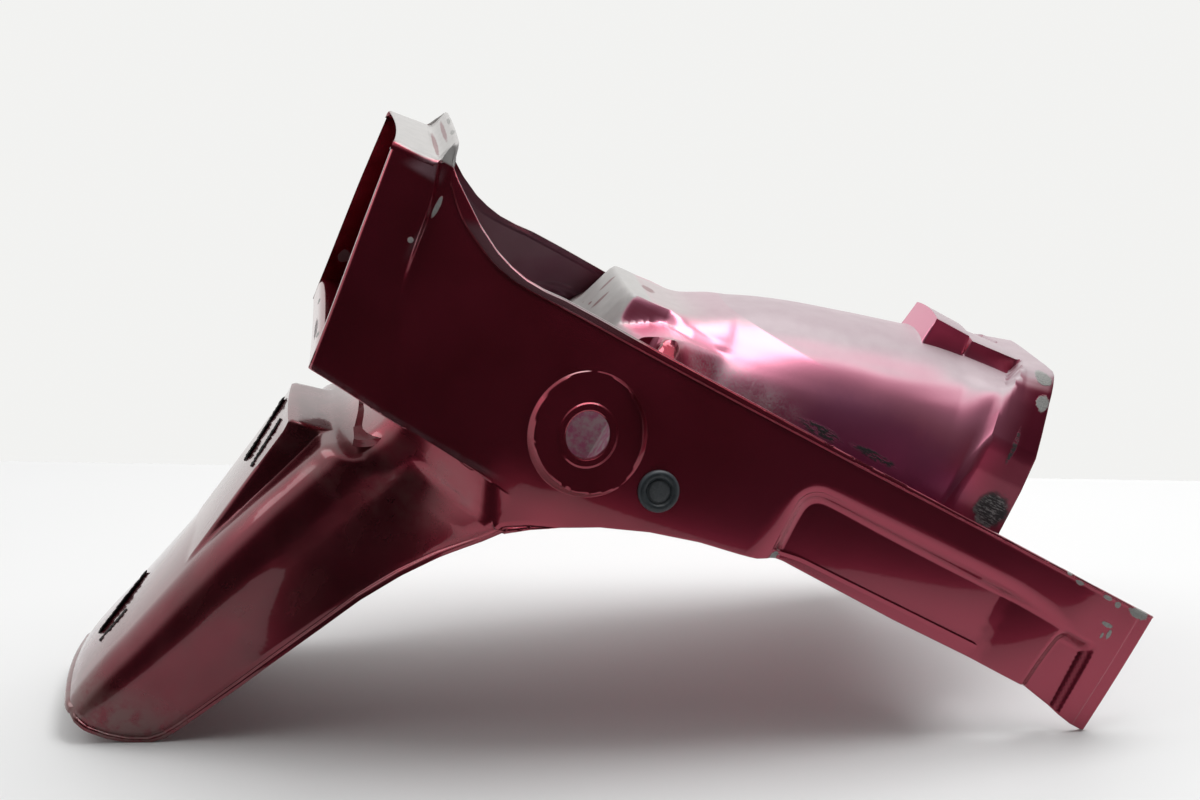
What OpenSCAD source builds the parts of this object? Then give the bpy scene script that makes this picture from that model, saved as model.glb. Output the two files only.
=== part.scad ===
// Rear fender of a road motorcycle: one moulded shell with tail-lamp box, mudflap,
// inner wheel arch and two forward side arms, plus two rubber plugs and the
// remains of stuck foam tape. It lies as it rests on a flat floor, on the lower
// end of the mudflap and on the tips of the two arms.
// X runs to the front of the motorcycle, Y to its left, Z up. Origin: middle of
// the footprint, on the floor. Everything is drawn in an "arm frame" (u along the
// arms, w across them), which is then turned by rest_tilt.

/* [Rest] */
// Angle by which the arms slope down to the floor, degrees
rest_tilt = 29.3; // [29:0.1:29.6]
// Shift of the arm frame along X, mm
rest_x = -10.3; // [-14:0.1:-6]
// Height of the arm frame above the floor, mm
rest_z = 256.2; // [256:0.1:256.6]

/* [Shell] */
// Wall thickness of the moulding, mm
wall = 3; // [2.5:0.5:3.5]
// Length of the side arms from the side holes' plane forward, mm
arm_len = 424; // [412:1:430]
// Half width of the shell at its widest, low on the side panels, mm
half_w = 150; // [147:1:153]
// Depth of the sunken field on the outside of each arm, mm
recess_d = 8; // [4:1:9]

/* [Wheel arch] */
// Crown radius of the inner arch over the wheel, mm
arch_r = 427; // [423:1:430]
// Half width of the inner arch at its foot, mm
arch_half = 92; // [88:1:95]

/* [Side holes] */
// Diameter of the large through hole in each side panel, mm
hole_d = 29.5; // [26:0.5:34]
// Diameter of the raised ring round that hole, mm
ring_d = 78; // [72:1:84]
// Lean of the side panel at the hole, degrees
hole_lean = 15; // [13:0.5:17]
// Outer diameter of the rubber plug, mm
plug_d = 28; // [25:0.5:30]
// Diameter of the hole that the plug sits in, mm
plug_hole_d = 20; // [17:0.5:21]
// Lean of the side panel at the plug, degrees
plug_lean = 11.5; // [10:0.5:13]

/* [Hidden] */
$fn = 64;
t = wall;
hole_u = 5.5;  hole_w = -25;     // centre of the large hole, arm frame
plug_u = 65;   plug_w = -36.7;   // centre of the plug, arm frame
ac_u = 283;    ac_w = -300;      // wheel axle, arm frame
big = 400;

// ---- side panels: [u, half width low down, lean inward over 128 mm of height,
//      top edge w, bottom edge w] ----
panel = [
 [-188,  97, 17,  78,  -78],
 [-172, 103, 17,  79,  -78],
 [-158, 108, 16,  80,  -78],
 [-150, 112, 19,  95,  -78],
 [-140, 117, 21,  76,  -78],
 [-131, 122, 23,  69,  -78],
 [-116, 130, 28,  58,  -77],
 [ -99, 136, 30,  50,  -76],
 [ -74, 143, 33,  43,  -77],
 [ -45, 148, 35,  43,  -79],
 [ -25, 149, 36,  43,  -84],
 [ -13, 150, 37,  43, -105],
 [   0, 150, 37,  42,  -98],
 [  10, 150, 37,  42,  -92],
 [  24, 150, 37,  41,  -84],
 [  48, 150, 36,  41,  -73],
 [  72, 150, 34,  41,  -64],
 [  98, 150, 32,  40,  -57],
 [ 125, 150, 30,  40,  -52],
 [ 150, 150, 28,  40,  -46],
 [ 158, 150, 27,  40,  -44],
 [ 171, 150, 26,  40,  -44],
 [ 209, 150, 24,  40,  -45],
 [ 267, 149, 20,  40,  -46],
 [ 334, 148, 15,  40,  -46],
 [ 356, 148, 13,  40,  -46],
 [ 365, 148, 12,  40,  -46],
 [ 371, 148, 11,  40,  -47],
 [ 394, 147,  9,  40,  -51],
 [ 401, 147,  9,  40,  -52],
 [arm_len, 147,  7,  40,  -55.8]];

// heights at which the panel is cut into strips, between its two edges
levels = [1000, 55, 30, 16, 6, -9, -26, -43, -60, -1000];

// depth of the sunken field and of the dent at the tip of the arm, at (u, w)
function lim(x) = min(1, max(0, x));
function field(u, w) = recess_d * lim((u - 158) / 13) * lim((16 - w) / 10)
                       * lim((365 - u) / 60);
function dent(u, w) = 8 * lim((u - 365) / 6) * lim((401 - u) / 7) * lim((3 - w) / 12);
// half width of the outer face at (u, w)
function lean(k, w) = k * pow(max(0, w + 85) / 128, 2);
function half_at(s, w) = s[1] * half_w / 150 - lean(s[2], w)
                         - max(field(s[0], w), dent(s[0], w));
// the rear edge of the lamp box leans: each column behind u = -60 is sheared
function shear(u, w) = u < -60 ? 18 * (-60 - u) / 128 * (78 - w) / 157 : 0;
// row j of a column lies at its level, kept between the column's edges
function row_w(s, j) = min(s[3] - 1.5 * j, max(s[4] + 1.5 * (len(levels) - 1 - j), levels[j]));

function panel_pts(off) = [for (s = panel) [for (j = [0 : len(levels) - 1])
    let (w = row_w(s, j)) [s[0] + shear(s[0], w), -half_at(s, w) + off, w]]];

// closed sheet between two equal grids of points, A outside and B inside
module sheet(A, B) {
  n = len(A); m = len(A[0]); q = n * m;
  pts = concat([for (r = A) for (p = r) p], [for (r = B) for (p = r) p]);
  outer = [for (i = [0 : n - 2]) for (j = [0 : m - 2])
    let (a = i * m + j, b = a + 1, c = a + m + 1, d = a + m) each [[a, c, b], [a, d, c]]];
  inner = [for (f = outer) [f[2] + q, f[1] + q, f[0] + q]];
  e0 = [for (i = [0 : n - 2]) let (a = i * m, d = a + m) each [[a, d + q, d], [a, a + q, d + q]]];
  e1 = [for (i = [0 : n - 2]) let (a = i * m + m - 1, d = a + m) each [[a, d, d + q], [a, d + q, a + q]]];
  e2 = [for (j = [0 : m - 2]) let (a = j, b = j + 1) each [[a, b, b + q], [a, b + q, a + q]]];
  e3 = [for (j = [0 : m - 2]) let (a = (n - 1) * m + j, b = a + 1) each [[a, b + q, b], [a, a + q, b + q]]];
  polyhedron(points = pts, faces = concat(outer, inner, e0, e1, e2, e3), convexity = 10);
}

module side_panel() sheet(panel_pts(0), panel_pts(t));

// solid that fills the room between the two panels, to half their thickness
module room() {
  A = panel_pts(t / 2);
  B = [for (r = A) [for (p = r) [p[0], -p[1], p[2]]]];
  sheet(A, B);
}

// prism across the shell of an outline given in (u, w)
module across(p, h) rotate([90, 0, 0]) linear_extrude(height = 2 * h, center = true) polygon(p);

// ---- tail-lamp box, rear bay floor, ramp and channel webs: side outlines ----
lamp_box = [[-187, 78], [-158, 80], [-153, 74], [-150, 96], [-146, 92], [-145, 70],
            [-129, -75], [-100, -75], [-100, -78], [-133, -78], [-134, -62],
            [-167, -62], [-168, -78], [-171, -78], [-172.5, -60], [-171, -59],
            [-137, -59], [-148, 68], [-186, 75]];
ledge = [[-110, -75], [-28, -79], [-28, -84], [-110, -78.5]];
bay_floor = [[28, 56], [19, 36], [5, 14], [-20, -29], [-43, -62], [-76, -92], [-105, -112],
             [-145, -119], [-145, -122], [-104, -116], [-73, -96], [-40, -65],
             [-17, -31], [8, 12], [22, 35], [32, 56]];
web = [[-45, -70], [24, -76], [72, -58], [125, -42], [176, -34], [320, -34],
       [320, -37], [175, -37], [124, -45], [71, -61], [23, -79], [-47, -73]];

// ---- inner arch: a section turned about the wheel axle ----
function arch_sec(o) = [[arch_r - o, 0], [arch_r - 2 - o, 24], [arch_r - 9 - o, 44],
   [arch_r - 22 - o, 62 - o / 2], [arch_r - 42 - o / 2, 76 - o], [arch_r - 70, 85 - o],
   [arch_r - 100, 90 - o], [arch_r - 150, arch_half - o], [225, arch_half - o]];
function mirrored(p) = concat(p, [for (i = [len(p) - 1 : -1 : 1]) [p[i][0], -p[i][1]]]);
module arch_turn(o) translate([ac_u, 0, ac_w]) rotate([90, 0, 0])
  rotate([0, 0, 68]) rotate_extrude(angle = 70, $fn = 96) polygon(mirrored(arch_sec(o)));
arch_trim = [[14, 26], [14, 34], [30, 62], [60, 120], [150, 160], [294, 160], [309, 96],
             [317, 35], [321, -36], [176, -36], [125, -44], [72, -60], [24, -78], [-38, -72], [-17, -32]];
module inner_arch() difference() {
  intersection() { arch_turn(0); across(arch_trim, 120); }
  arch_turn(t);
}

// rear step and front saddle on top of the arch, hollow from below
module bosses() {
  across([[12, 24], [2, 44], [4, 52], [10, 58], [38, 60], [66, 66], [66, 40], [24, 34]], 46);
  across([[262, 110], [262, 143], [300, 146], [294, 118]], 46);
}

// ---- mudflap: [w, u of rear face, u of front rim, half width at the rim and at
//      the middle of the side wall] ----
flap = [
 [ -76, -131, -26, 147, 108],
 [ -97, -137,   0, 149, 105],
 [-107, -139, -12, 146, 102],
 [-124, -144, -20, 134,  99],
 [-149, -150, -36, 120,  95],
 [-176, -157, -51, 110,  92],
 [-207, -165, -66, 102,  90],
 [-240, -174, -79,  95,  87],
 [-273, -183, -93,  90,  84],
 [-306, -191, -107, 86,  82],
 [-339, -200, -121, 82,  80],
 [-355, -204, -129, 80,  79],
 [-366, -207, -135, 79,  78],
 [-374, -208, -143, 79,  78],
 [-381, -208, -156, 78,  76],
 [-386, -205, -171, 76,  74]];
// half of the section, from the rim to the middle of the rear face: part of the
// way back, share of the half width (the side wall flares towards the rim)
crown = [[0, 1], [0.25, 1], [0.5, 1], [0.72, 0.975], [0.86, 0.9], [0.95, 0.78], [0.985, 0.62], [1, 0.3]];
function flare(s, c) = s[3] + (s[4] - s[3]) * lim(c / 0.5) * (2 - lim(c / 0.5));
function flap_row(s, o) = let (r = s[1] + o, f = s[2],
    z = s[0] + (s[0] < -350 ? o * (-350 - s[0]) / 36 : 0),
    a = [for (c = crown) [f + (r - f) * c[0], -(flare(s, c[0]) - o) * c[1], z]])
    concat(a, [for (i = [len(a) - 1 : -1 : 0]) [a[i][0], -a[i][1], a[i][2]]]);
module mudflap() sheet([for (s = flap) flap_row(s, 0)], [for (s = flap) flap_row(s, t)]);
// solid that fills the flap between its two walls, to half their thickness
module flap_room() sheet([for (s = flap) flap_row(s, t / 2)],
    [for (s = flap) [for (p = flap_row(s, t / 2)) [s[2] + 1, p[1], p[2]]]]);
// raised pad on the rear face, proud at its upper end and flush at its lower tip
pad_half = 52;
module pad_outer() across([[-139, -122], [-152, -124], [-159, -131], [-161, -140], [-172, -246], [-150, -225], [-134, -122]], pad_half);
module pad_inner() across([[-137, -126], [-151, -128], [-156, -133], [-158, -141], [-168, -233], [-130, -225], [-115, -126]], pad_half - t);

// ---- side hole with its raised ring, and the seat of the plug; z points outward ----
module at_hole() translate([hole_u, -141.9, hole_w]) rotate([90 - hole_lean, 0, 0]) children();
module at_plug() translate([plug_u, -145.1, plug_w]) rotate([90 - plug_lean, 0, 0]) children();
module hole_boss() at_hole() {
  translate([0, 0, -3.5]) cylinder(d = 39, h = 5.5, $fn = 64);
  difference() {
    translate([0, 0, -3.5]) cylinder(d = ring_d, h = 4.5, $fn = 96);
    translate([0, 0, -0.5]) cylinder(d = ring_d - 8, h = 3, $fn = 96);
  }
}
module plug_seat() at_plug() translate([0, 0, -3]) cylinder(d = plug_d + 3, h = 3.3, $fn = 64);

module both() { children(); mirror([0, 1, 0]) children(); }
module placed() translate([rest_x, 0, rest_z]) rotate([0, rest_tilt, 0]) children();

module fender_shell() color([0.36, 0.05, 0.13]) placed() difference() {
  union() {
    both() difference() {
      union() { side_panel(); hole_boss(); plug_seat(); }
      at_hole() translate([0, 0, -20]) cylinder(d = hole_d, h = 30, $fn = 96);
      at_plug() translate([0, 0, -20]) cylinder(d = plug_hole_d, h = 30, $fn = 64);
    }
    intersection() { room(); union() { across(lamp_box, 160); across(bay_floor, 160); } }
    intersection() { flap_room(); across(bay_floor, 160); }
    difference() {
      intersection() { room(); across(ledge, 160); }
      cube([2 * big, 200, 2 * big], center = true);
    }
    difference() {
      intersection() { room(); across(web, 160); }
      cube([2 * big, 2 * arch_half - 4, 2 * big], center = true);
    }
    inner_arch();
    difference() { bosses(); arch_turn(t); }
    difference() {
      union() { mudflap(); pad_outer(); }
      pad_inner();
    }
  }
}

module plug_body() color([0.10, 0.11, 0.13]) placed() at_plug() translate([0, 0, 0.3]) rotate_extrude($fn = 64)
  polygon([[0, -4.3], [plug_hole_d / 2 + 1.2, -4.3], [plug_hole_d / 2 + 1.2, -3.5],
           [plug_hole_d / 2 - 0.1, -3.4], [plug_hole_d / 2 - 0.1, 0], [plug_d / 2, 0],
           [plug_d / 2, 1.6], [plug_d / 2 - 1.6, 3.2], [8.2, 3.2], [7.4, 1.4], [0, 1.4]]);
module hole_plug_right() plug_body();
module hole_plug_left() mirror([0, 1, 0]) plug_body();

// strips left of the foam tape, flat on the rear face of the flap
module on_pad(w) translate([-161 - (-140 - w) * 11 / 106, 0, w]) rotate([0, 276, 0]) children();
module on_flap(w) translate([-165 - (-207 - w) * 42 / 159, 0, w]) rotate([0, 285, 0]) children();
module foam_tape_upper() color([0.08, 0.08, 0.08]) placed() on_pad(-180) {
  translate([-28, 8, 0]) cube([52, 12, 1.2]);
  translate([-20, -16, 0]) cube([46, 8, 1.2]);
}
module foam_tape_lower() color([0.08, 0.08, 0.08]) placed() on_flap(-336) translate([-30, -4, 0]) cube([56, 10, 1.2]);

fender_shell();
hole_plug_right();
hole_plug_left();
foam_tape_upper();
foam_tape_lower();
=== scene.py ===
import bpy, math
import numpy as np
from mathutils import Vector, Matrix
from mathutils.geometry import delaunay_2d_cdt


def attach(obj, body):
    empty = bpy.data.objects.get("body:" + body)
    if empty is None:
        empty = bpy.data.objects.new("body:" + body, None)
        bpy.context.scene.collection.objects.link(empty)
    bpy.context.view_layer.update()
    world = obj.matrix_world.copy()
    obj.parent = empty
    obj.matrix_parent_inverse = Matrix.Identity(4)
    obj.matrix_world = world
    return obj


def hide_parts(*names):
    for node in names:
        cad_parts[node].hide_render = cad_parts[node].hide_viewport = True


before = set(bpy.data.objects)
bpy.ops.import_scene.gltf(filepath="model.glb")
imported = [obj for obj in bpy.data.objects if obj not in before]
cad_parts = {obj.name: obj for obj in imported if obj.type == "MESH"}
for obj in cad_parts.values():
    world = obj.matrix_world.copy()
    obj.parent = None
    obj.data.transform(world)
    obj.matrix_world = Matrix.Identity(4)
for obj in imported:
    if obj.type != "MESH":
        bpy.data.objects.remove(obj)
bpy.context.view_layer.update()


# ------------------------------------------------------------------ camera
CAM_A, CAM_E = math.radians(7.336), math.radians(16.42)
fwd = Vector((math.sin(CAM_A) * math.cos(CAM_E), math.cos(CAM_A) * math.cos(CAM_E), -math.sin(CAM_E)))
right = Vector((math.cos(CAM_A), -math.sin(CAM_A), 0.0))
upv = right.cross(fwd)
cam_data = bpy.data.cameras.new("camera")
cam_data.lens, cam_data.sensor_width, cam_data.sensor_fit = 57.0, 36.0, "HORIZONTAL"
cam_data.clip_start, cam_data.clip_end = 0.05, 60.0
cam = bpy.data.objects.new("camera", cam_data)
bpy.context.scene.collection.objects.link(cam)
M = Matrix.Identity(4)
for i in range(3):
    M[i][0], M[i][1], M[i][2] = right[i], upv[i], -fwd[i]
M.translation = Vector((-0.16043, -1.31118, 0.60275))
cam.matrix_world = M
bpy.context.scene.camera = cam

# ------------------------------------------------------------------ arm frame
# (u, y, w) in millimetres: u along the arms, y across, w square to both.
TILT = math.radians(29.3)
CT, ST = math.cos(TILT), math.sin(TILT)


def place(P):
    P = np.asarray(P, float)
    u, y, w = P[:, 0], P[:, 1], P[:, 2]
    return np.stack([(-10.3 + u * CT + w * ST), y, (256.2 - u * ST + w * CT)], 1) / 1000.0


def turn(N):
    N = np.asarray(N, float)
    return np.stack([N[:, 0] * CT + N[:, 2] * ST, N[:, 1], -N[:, 0] * ST + N[:, 2] * CT], 1)


def sstep(x):
    x = np.clip(x, 0.0, 1.0)
    return x * x * (3 - 2 * x)


def smooth(a, sg=7.0):
    k = np.exp(-0.5 * (np.arange(-28, 29) / sg) ** 2)
    k /= k.sum()
    return np.convolve(np.pad(a, 28, mode="edge"), k, "valid")


def table(xs, ys, sg=6.0, lo=-240, hi=480):
    g = np.arange(lo, hi, 1.0)
    v = smooth(np.interp(g, xs, ys), sg)
    return lambda x: np.interp(x, g, v)


def wtable(ws, ys, sg=5.0):
    o = np.argsort(ws)
    g = np.arange(-430, 130, 1.0)
    v = smooth(np.interp(g, np.array(ws, float)[o], np.array(ys, float)[o]), sg)
    return lambda x: np.interp(x, g, v)


# ------------------------------------------------------------------ side panels
PU = [-188, -172, -158, -150, -140, -131, -116, -99, -74, -45, -25, 0, 10, 24, 48, 72, 98, 125,
      157, 164, 174, 209, 267, 334, 358, 376, 403, 424]
PH = [97, 103, 108, 112, 117, 122, 130, 136, 143, 148, 149, 150, 150, 150, 150, 150, 150, 150,
      150, 150, 150, 150, 149, 148, 148, 148, 147, 147]
PK = [17, 17, 16, 19, 21, 23, 28, 30, 33, 35, 36, 37, 37, 37, 36, 34, 32, 30,
      28, 27, 26, 24, 20, 15, 13, 11, 9, 7]
half_low = table(PU, PH)
lean_k = table(PU, PK)


def panel(u, w):
    return half_low(u) - lean_k(u) * (np.maximum(0, w + 85) / 128) ** 2


class Line:
    """A polyline in (u, w) with distance and side."""

    def __init__(self, pts, closed=False):
        self.p = np.array(pts, float)
        if closed:
            self.p = np.vstack([self.p, self.p[:1]])
        self.a, self.b = self.p[:-1], self.p[1:]

    def dist(self, u, w):
        """signed distance, positive on the left of the travel direction"""
        u = np.asarray(u, float); w = np.asarray(w, float)
        best = np.full(u.shape, 1e9); side = np.ones(u.shape)
        for a, b in zip(self.a, self.b):
            d = b - a; L2 = d @ d
            if L2 < 1e-12:
                continue
            t = np.clip(((u - a[0]) * d[0] + (w - a[1]) * d[1]) / L2, 0, 1)
            du, dw = u - a[0] - t * d[0], w - a[1] - t * d[1]
            r = np.hypot(du, dw)
            m = r < best
            s = np.sign(d[0] * dw - d[1] * du)
            side = np.where(m, np.where(s == 0, 1, s), side)
            best = np.where(m, r, best)
        return best * side

    def sample(self, step, off=0.0):
        d = np.hypot(*(self.b - self.a).T)
        L = np.concatenate([[0], np.cumsum(d)])
        n = max(2, int(round(L[-1] / step)) + 1)
        s = np.linspace(0, L[-1], n)
        x = np.interp(s, L, self.p[:, 0]); y = np.interp(s, L, self.p[:, 1])
        P = np.stack([x, y], 1)
        if off:
            T = np.gradient(P, axis=0)
            T /= np.maximum(1e-9, np.hypot(T[:, 0], T[:, 1]))[:, None]
            P = P + off * np.stack([-T[:, 1], T[:, 0]], 1)
        return P


def rounded(pts, closed=False, it=3):
    """corner cutting, keeping the ends"""
    p = np.array(pts, float)
    for _ in range(it):
        q = [p[0]] if not closed else []
        n = len(p)
        for i in range(n if closed else n - 1):
            a, b = p[i], p[(i + 1) % n]
            q += [0.75 * a + 0.25 * b, 0.25 * a + 0.75 * b]
        if not closed:
            q[1] = 0.5 * (p[0] + q[1]) if len(p) > 2 else q[1]
            q.append(p[-1])
        p = np.array(q)
    return p


TOP_EDGE = [(-152, 94.5), (-149.6, 90), (-148, 83), (-139, 75), (-130, 68.5), (-115, 58), (-98, 49), (-86, 45), (-74, 42.5),
            (-60, 42), (-45.5, 43), (-19, 42.6), (27, 41), (136, 40), (297, 39.5), (426.4, 39.2)]
CREASE = Line(rounded([(-146, 78), (-143.7, 71), (-134, 62), (-125, 54), (-98, 41), (-78.6, 37), (-41, 38.3), (30, 36), (200, 36.5), (415, 38), (440, 38.3)]))
LOWER = [(424.4, -55.2), (413.5, -55), (365.7, -45.7), (332.7, -46), (260, -46), (168, -43.3), (156.7, -44.2), (148, -48), (135.7, -50.4),
         (107, -55), (73, -63.7), (41.6, -75.3), (18, -87.4), (1, -97.2), (-12, -106.5)]
RIM = [(-12, -106.5), (-20, -123), (-36, -149), (-51, -176), (-66, -207), (-79, -240), (-93, -273), (-107, -306), (-121.5, -339),
       (-129, -355.5), (-135, -366.5), (-143, -375), (-156, -382), (-171, -386), (-186, -387), (-196, -385.5)]

# ---- mudflap: level w against rear face, rim half width, mid half width, corner radius
FW = [-60, -78, -90, -100, -110, -116, -121, -126, -132, -137, -148, -170, -194, -220, -249, -279, -318, -339, -355, -366, -381, -390]
FR = [-112, -114, -116, -118, -122, -126, -133, -140, -142.6, -143.5, -147, -154, -162, -170, -178, -185, -194.5, -200.5, -204.5, -207, -209, -209.5]
flap_rear = wtable(FW, FR, 2.5)
flap_rimh = wtable([-60, -98, -107, -124, -149, -176, -207, -240, -273, -306, -339, -355, -366, -374, -381, -386, -390],
                   [150, 149.5, 146, 134, 120, 110, 102, 95, 90, 86, 82, 80, 79, 79, 78, 76, 75])
flap_mid = wtable([-60, -78, -97, -124, -149, -176, -207, -240, -273, -306, -339, -366, -386, -390],
                  [107, 106, 104, 99, 95, 92, 90, 87, 84, 82, 80, 78, 75.5, 75])
flap_rad = wtable([-60, -78, -137, -250, -340, -386], [26, 28, 34, 35, 30, 22])
rim_u = wtable([-60, -78, -90, -98, -106.5, -123, -149, -176, -207, -240, -273, -306, -339, -355.5, -366.5, -390],
               [-34, -30, -22, -16, -12, -20, -36, -51, -66, -79, -93, -107, -121.5, -129, -135, -140], 3.0)
CROWN = 800.0


def corner(w):
    R = flap_rad(w); hm = flap_mid(w); ur = flap_rear(w)
    yk = hm - R * 0.86
    a0 = np.arctan(2 * yk / CROWN)
    yk = hm - R * (1 - np.sin(a0))
    a0 = np.arctan(2 * yk / CROWN)
    uk = ur + yk * yk / CROWN
    return uk + R * np.cos(a0), yk - R * np.sin(a0), R, a0, yk


SEAM_ANG = math.radians(50)


def flap_side(u, w):
    uc, yc, R, a0, yk = corner(w)
    fl = rim_u(w); hm = flap_mid(w)
    hr = np.where(w > -107, np.minimum(flap_rimh(w), 150.0), flap_rimh(w))
    L = np.interp(w, [-386, -300, -200, -140, -100, -78], [35, 42, 50, 60, 72, 64])
    x = np.clip((fl - u) / L, 0, 1)
    blend = np.interp(w, [-190, -120], [0, 1])
    g = (1 - x) ** 2 * (1 - blend) + (1 - sstep(x)) * blend
    y = hm + (hr - hm) * g
    d = np.clip(uc - u, 0, R * 0.9995)
    return y - (R - np.sqrt(R * R - d * d))


def seam_u(w):
    uc, yc, R, a0, yk = corner(w)
    return uc - R * math.sin(SEAM_ANG)


# ---- details on the side panel
HOLE_C, HOLE_R, DISC_R = (5.5, -25.0), 14.9, 40.0
GROOVE = Line(rounded([(-156.6, 100), (-156.6, 82), (-148.5, 58), (-145, 17), (-140, -8), (-132.5, -32), (-118, -62), (-112, -74)]))
REC_OUT = [(138.1, -60), (138.8, -30.3), (141, -14), (147.2, -2), (152.9, 9), (158.3, 15.5), (166, 18.6), (187, 20.8), (229, 21.7), (290, 20.9),
           (341.4, 19.3), (372, 13), (388, 2), (394, -4)]
REC_TOP = [(154.8, -60), (154.8, -45), (154.9, -18.2), (155.6, -5.8), (156.7, 0), (159.7, 5), (166.6, 9.8), (175.4, 11), (228, 10.6), (295, 10.4),
           (347, 9.6), (380, 5), (388, 0)]
REC_BOT = [(162.9, -60), (163, -36), (164.1, -13.9), (165.4, -4.9), (168, -0.6), (172.1, 1.9), (179.1, 3), (232.8, 2), (300, 2.3), (342, 2.9),
           (370, 2), (384, -2)]
rec_out, rec_top, rec_bot = Line(rounded(REC_OUT)), Line(rounded(REC_TOP)), Line(rounded(REC_BOT))
OVER = Line([(-190, -77.6), (-133, -77.6), (-105, -76.6), (-75, -77.6), (-35, -80), (-10, -84)])
rim_line = Line(RIM + [(-205, -382.5), (-209, -382.5)])
lip_line = Line([(40, -84), (18, -92), (1, -99), (-12, -106.5)] + RIM[1:])


def recess(u, w):
    dO = -rec_out.dist(u, w); dT = -rec_top.dist(u, w); dB = -rec_bot.dist(u, w)
    # dX > 0 inside (below the line)
    fade = np.clip((392 - u) / 70, 0, 1) * np.interp(u, [0, 330, 392], [1, 1, 0.35])
    a = np.clip(dO / np.maximum(1e-6, dO - dT), 0, 1)
    a = np.where(dT >= 0, 1.0, np.where(dO <= 0, 0.0, a))
    b = np.clip(dT / np.maximum(1e-6, dT - dB), 0, 1)
    b = np.where(dB >= 0, 1.0, np.where(dT <= 0, 0.0, b))
    soft = 2.0 * a ** 2.2
    bb = np.clip(b, 0, 1)
    steep = 6.2 * (0.25 * bb + 0.75 * sstep(bb * 0.86 + 0.10) / 1.0)
    steep = np.where(dT > 0, steep, 0.0)
    return (soft + steep) * fade


def scoop(u, w):
    top = sstep((5.0 - w) / 12.0)
    ul = 363.5 + np.clip((w + 50) / 50, 0, 1) ** 2 * 5.0
    ur = 401.5 - np.clip((w + 50) / 50, 0, 1) * 1.5
    l = sstep((u - ul) / 9.0)
    r = sstep((ur - u) / 8.0)
    return 7.0 * top * l * r


def disc(u, w, Y):
    du, dw = u - HOLE_C[0], w - HOLE_C[1]
    r = np.hypot(du, dw)
    flat = 141.9 - 0.385 * dw - 0.085 * du - 0.3
    d = flat - Y
    lim = np.maximum(0.0, DISC_R - r) * 1.25
    e = np.clip(d, -lim, lim)
    e = np.where(r < DISC_R, e, 0.0)
    out = Y + e
    out = out + 0.9 * sstep((20.6 - r) / 1.2) - 0.9 * sstep((HOLE_R + 1.0 - r) / 1.0) * 0.6
    return out


BOX_REAR = Line([(-170.4, -77.4), (-174.5, -40), (-181.5, 20), (-186.8, 72)])
EDGE_TOP = Line(TOP_EDGE)
EDGE_LOW = Line(LOWER)
BOX_LOW = Line([(-100, -77.4), (-170.4, -77.4)])


def side(u, w, detail=True, shift=0.0):
    """half width of the outer face"""
    u = np.asarray(u, float); w = np.asarray(w, float)
    P = panel(u, w)
    F = flap_side(u, w)
    g = GROOVE.dist(u, w)          # positive in front of the line
    wid = np.interp(w, [-75, -30, 10, 60], [14, 9, 6, 3.2])
    proud = np.interp(w, [-75, -35, 10, 60], [0.0, 0.8, 4.0, 5.0])
    t = np.clip(g / wid + 0.5, 0, 1)
    P = P + proud * (0.5 - sstep(t)) * np.exp(-np.maximum(0, g) / 40.0)
    low = np.clip((-63.5 - w) / 14.0, 0, 1) * np.interp(u, [-90, -30], [1, 0])
    P = P - 1.3 * low ** 2
    if detail:
        c = CREASE.dist(u, w)
        P = P + 1.7 * sstep((c + 0.7) / 1.4) * np.interp(u, [-146, -138], [0, 1])
        P = disc(u, w, P)
        P = P - recess(u, w) - scoop(u, w)
        P = P - 0.7 * sstep((u - 413.6 - 0.025 * (w + 52)) / 1.2)
    o = OVER.dist(u, w) - shift
    t = sstep((o + 0.8) / 1.6)
    t = np.where((u > -10) | ((u < -99.0) & (w > -78.0)), 1.0, t)
    t2 = np.interp(u, [-44, -20], [0, 1])
    below = F * (1 - t2) + np.minimum(P, 150.3) * t2
    below = np.where(w < -107, F, below)
    Y = P * t + below * (1 - t)
    Y = np.where(w < -107, F, Y)
    if detail:
        d = np.abs(lip_line.dist(u, w))
        k = np.interp(u, [-14, 34], [1, 0])
        k = np.where(w < -100, 1.0, k)
        k = np.where((w > -82) & (u < -20), 0.0, k)
        lip = np.interp(d, [0, 3.4, 4.4, 5.2, 6.6], [1.3, 1.2, -0.55, -0.45, 0.0])
        Y = Y + lip * k

        def edge(line, r, Y, on=True):
            dd = np.abs(line.dist(u, w))
            x = np.clip(r - dd, 0, r)
            return Y - np.where(on, r - np.sqrt(np.maximum(0, r * r - x * x)), 0.0)
        Y = edge(BOX_REAR, 2.3, Y)
        Y = edge(EDGE_TOP, 0.9, Y)
        Y = edge(EDGE_LOW, 0.9, Y)
        Y = edge(BOX_LOW, 0.8, Y, u < -99)
        Y = edge(rim_line, 0.8, Y, w < -107)
        de = np.clip(0.9 - np.abs(u - (424.4 + 2.0 * (w + 55.2) / 94.4)), 0, 0.9)
        Y = Y - (0.9 - np.sqrt(0.81 - de * de))
    return Y


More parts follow.
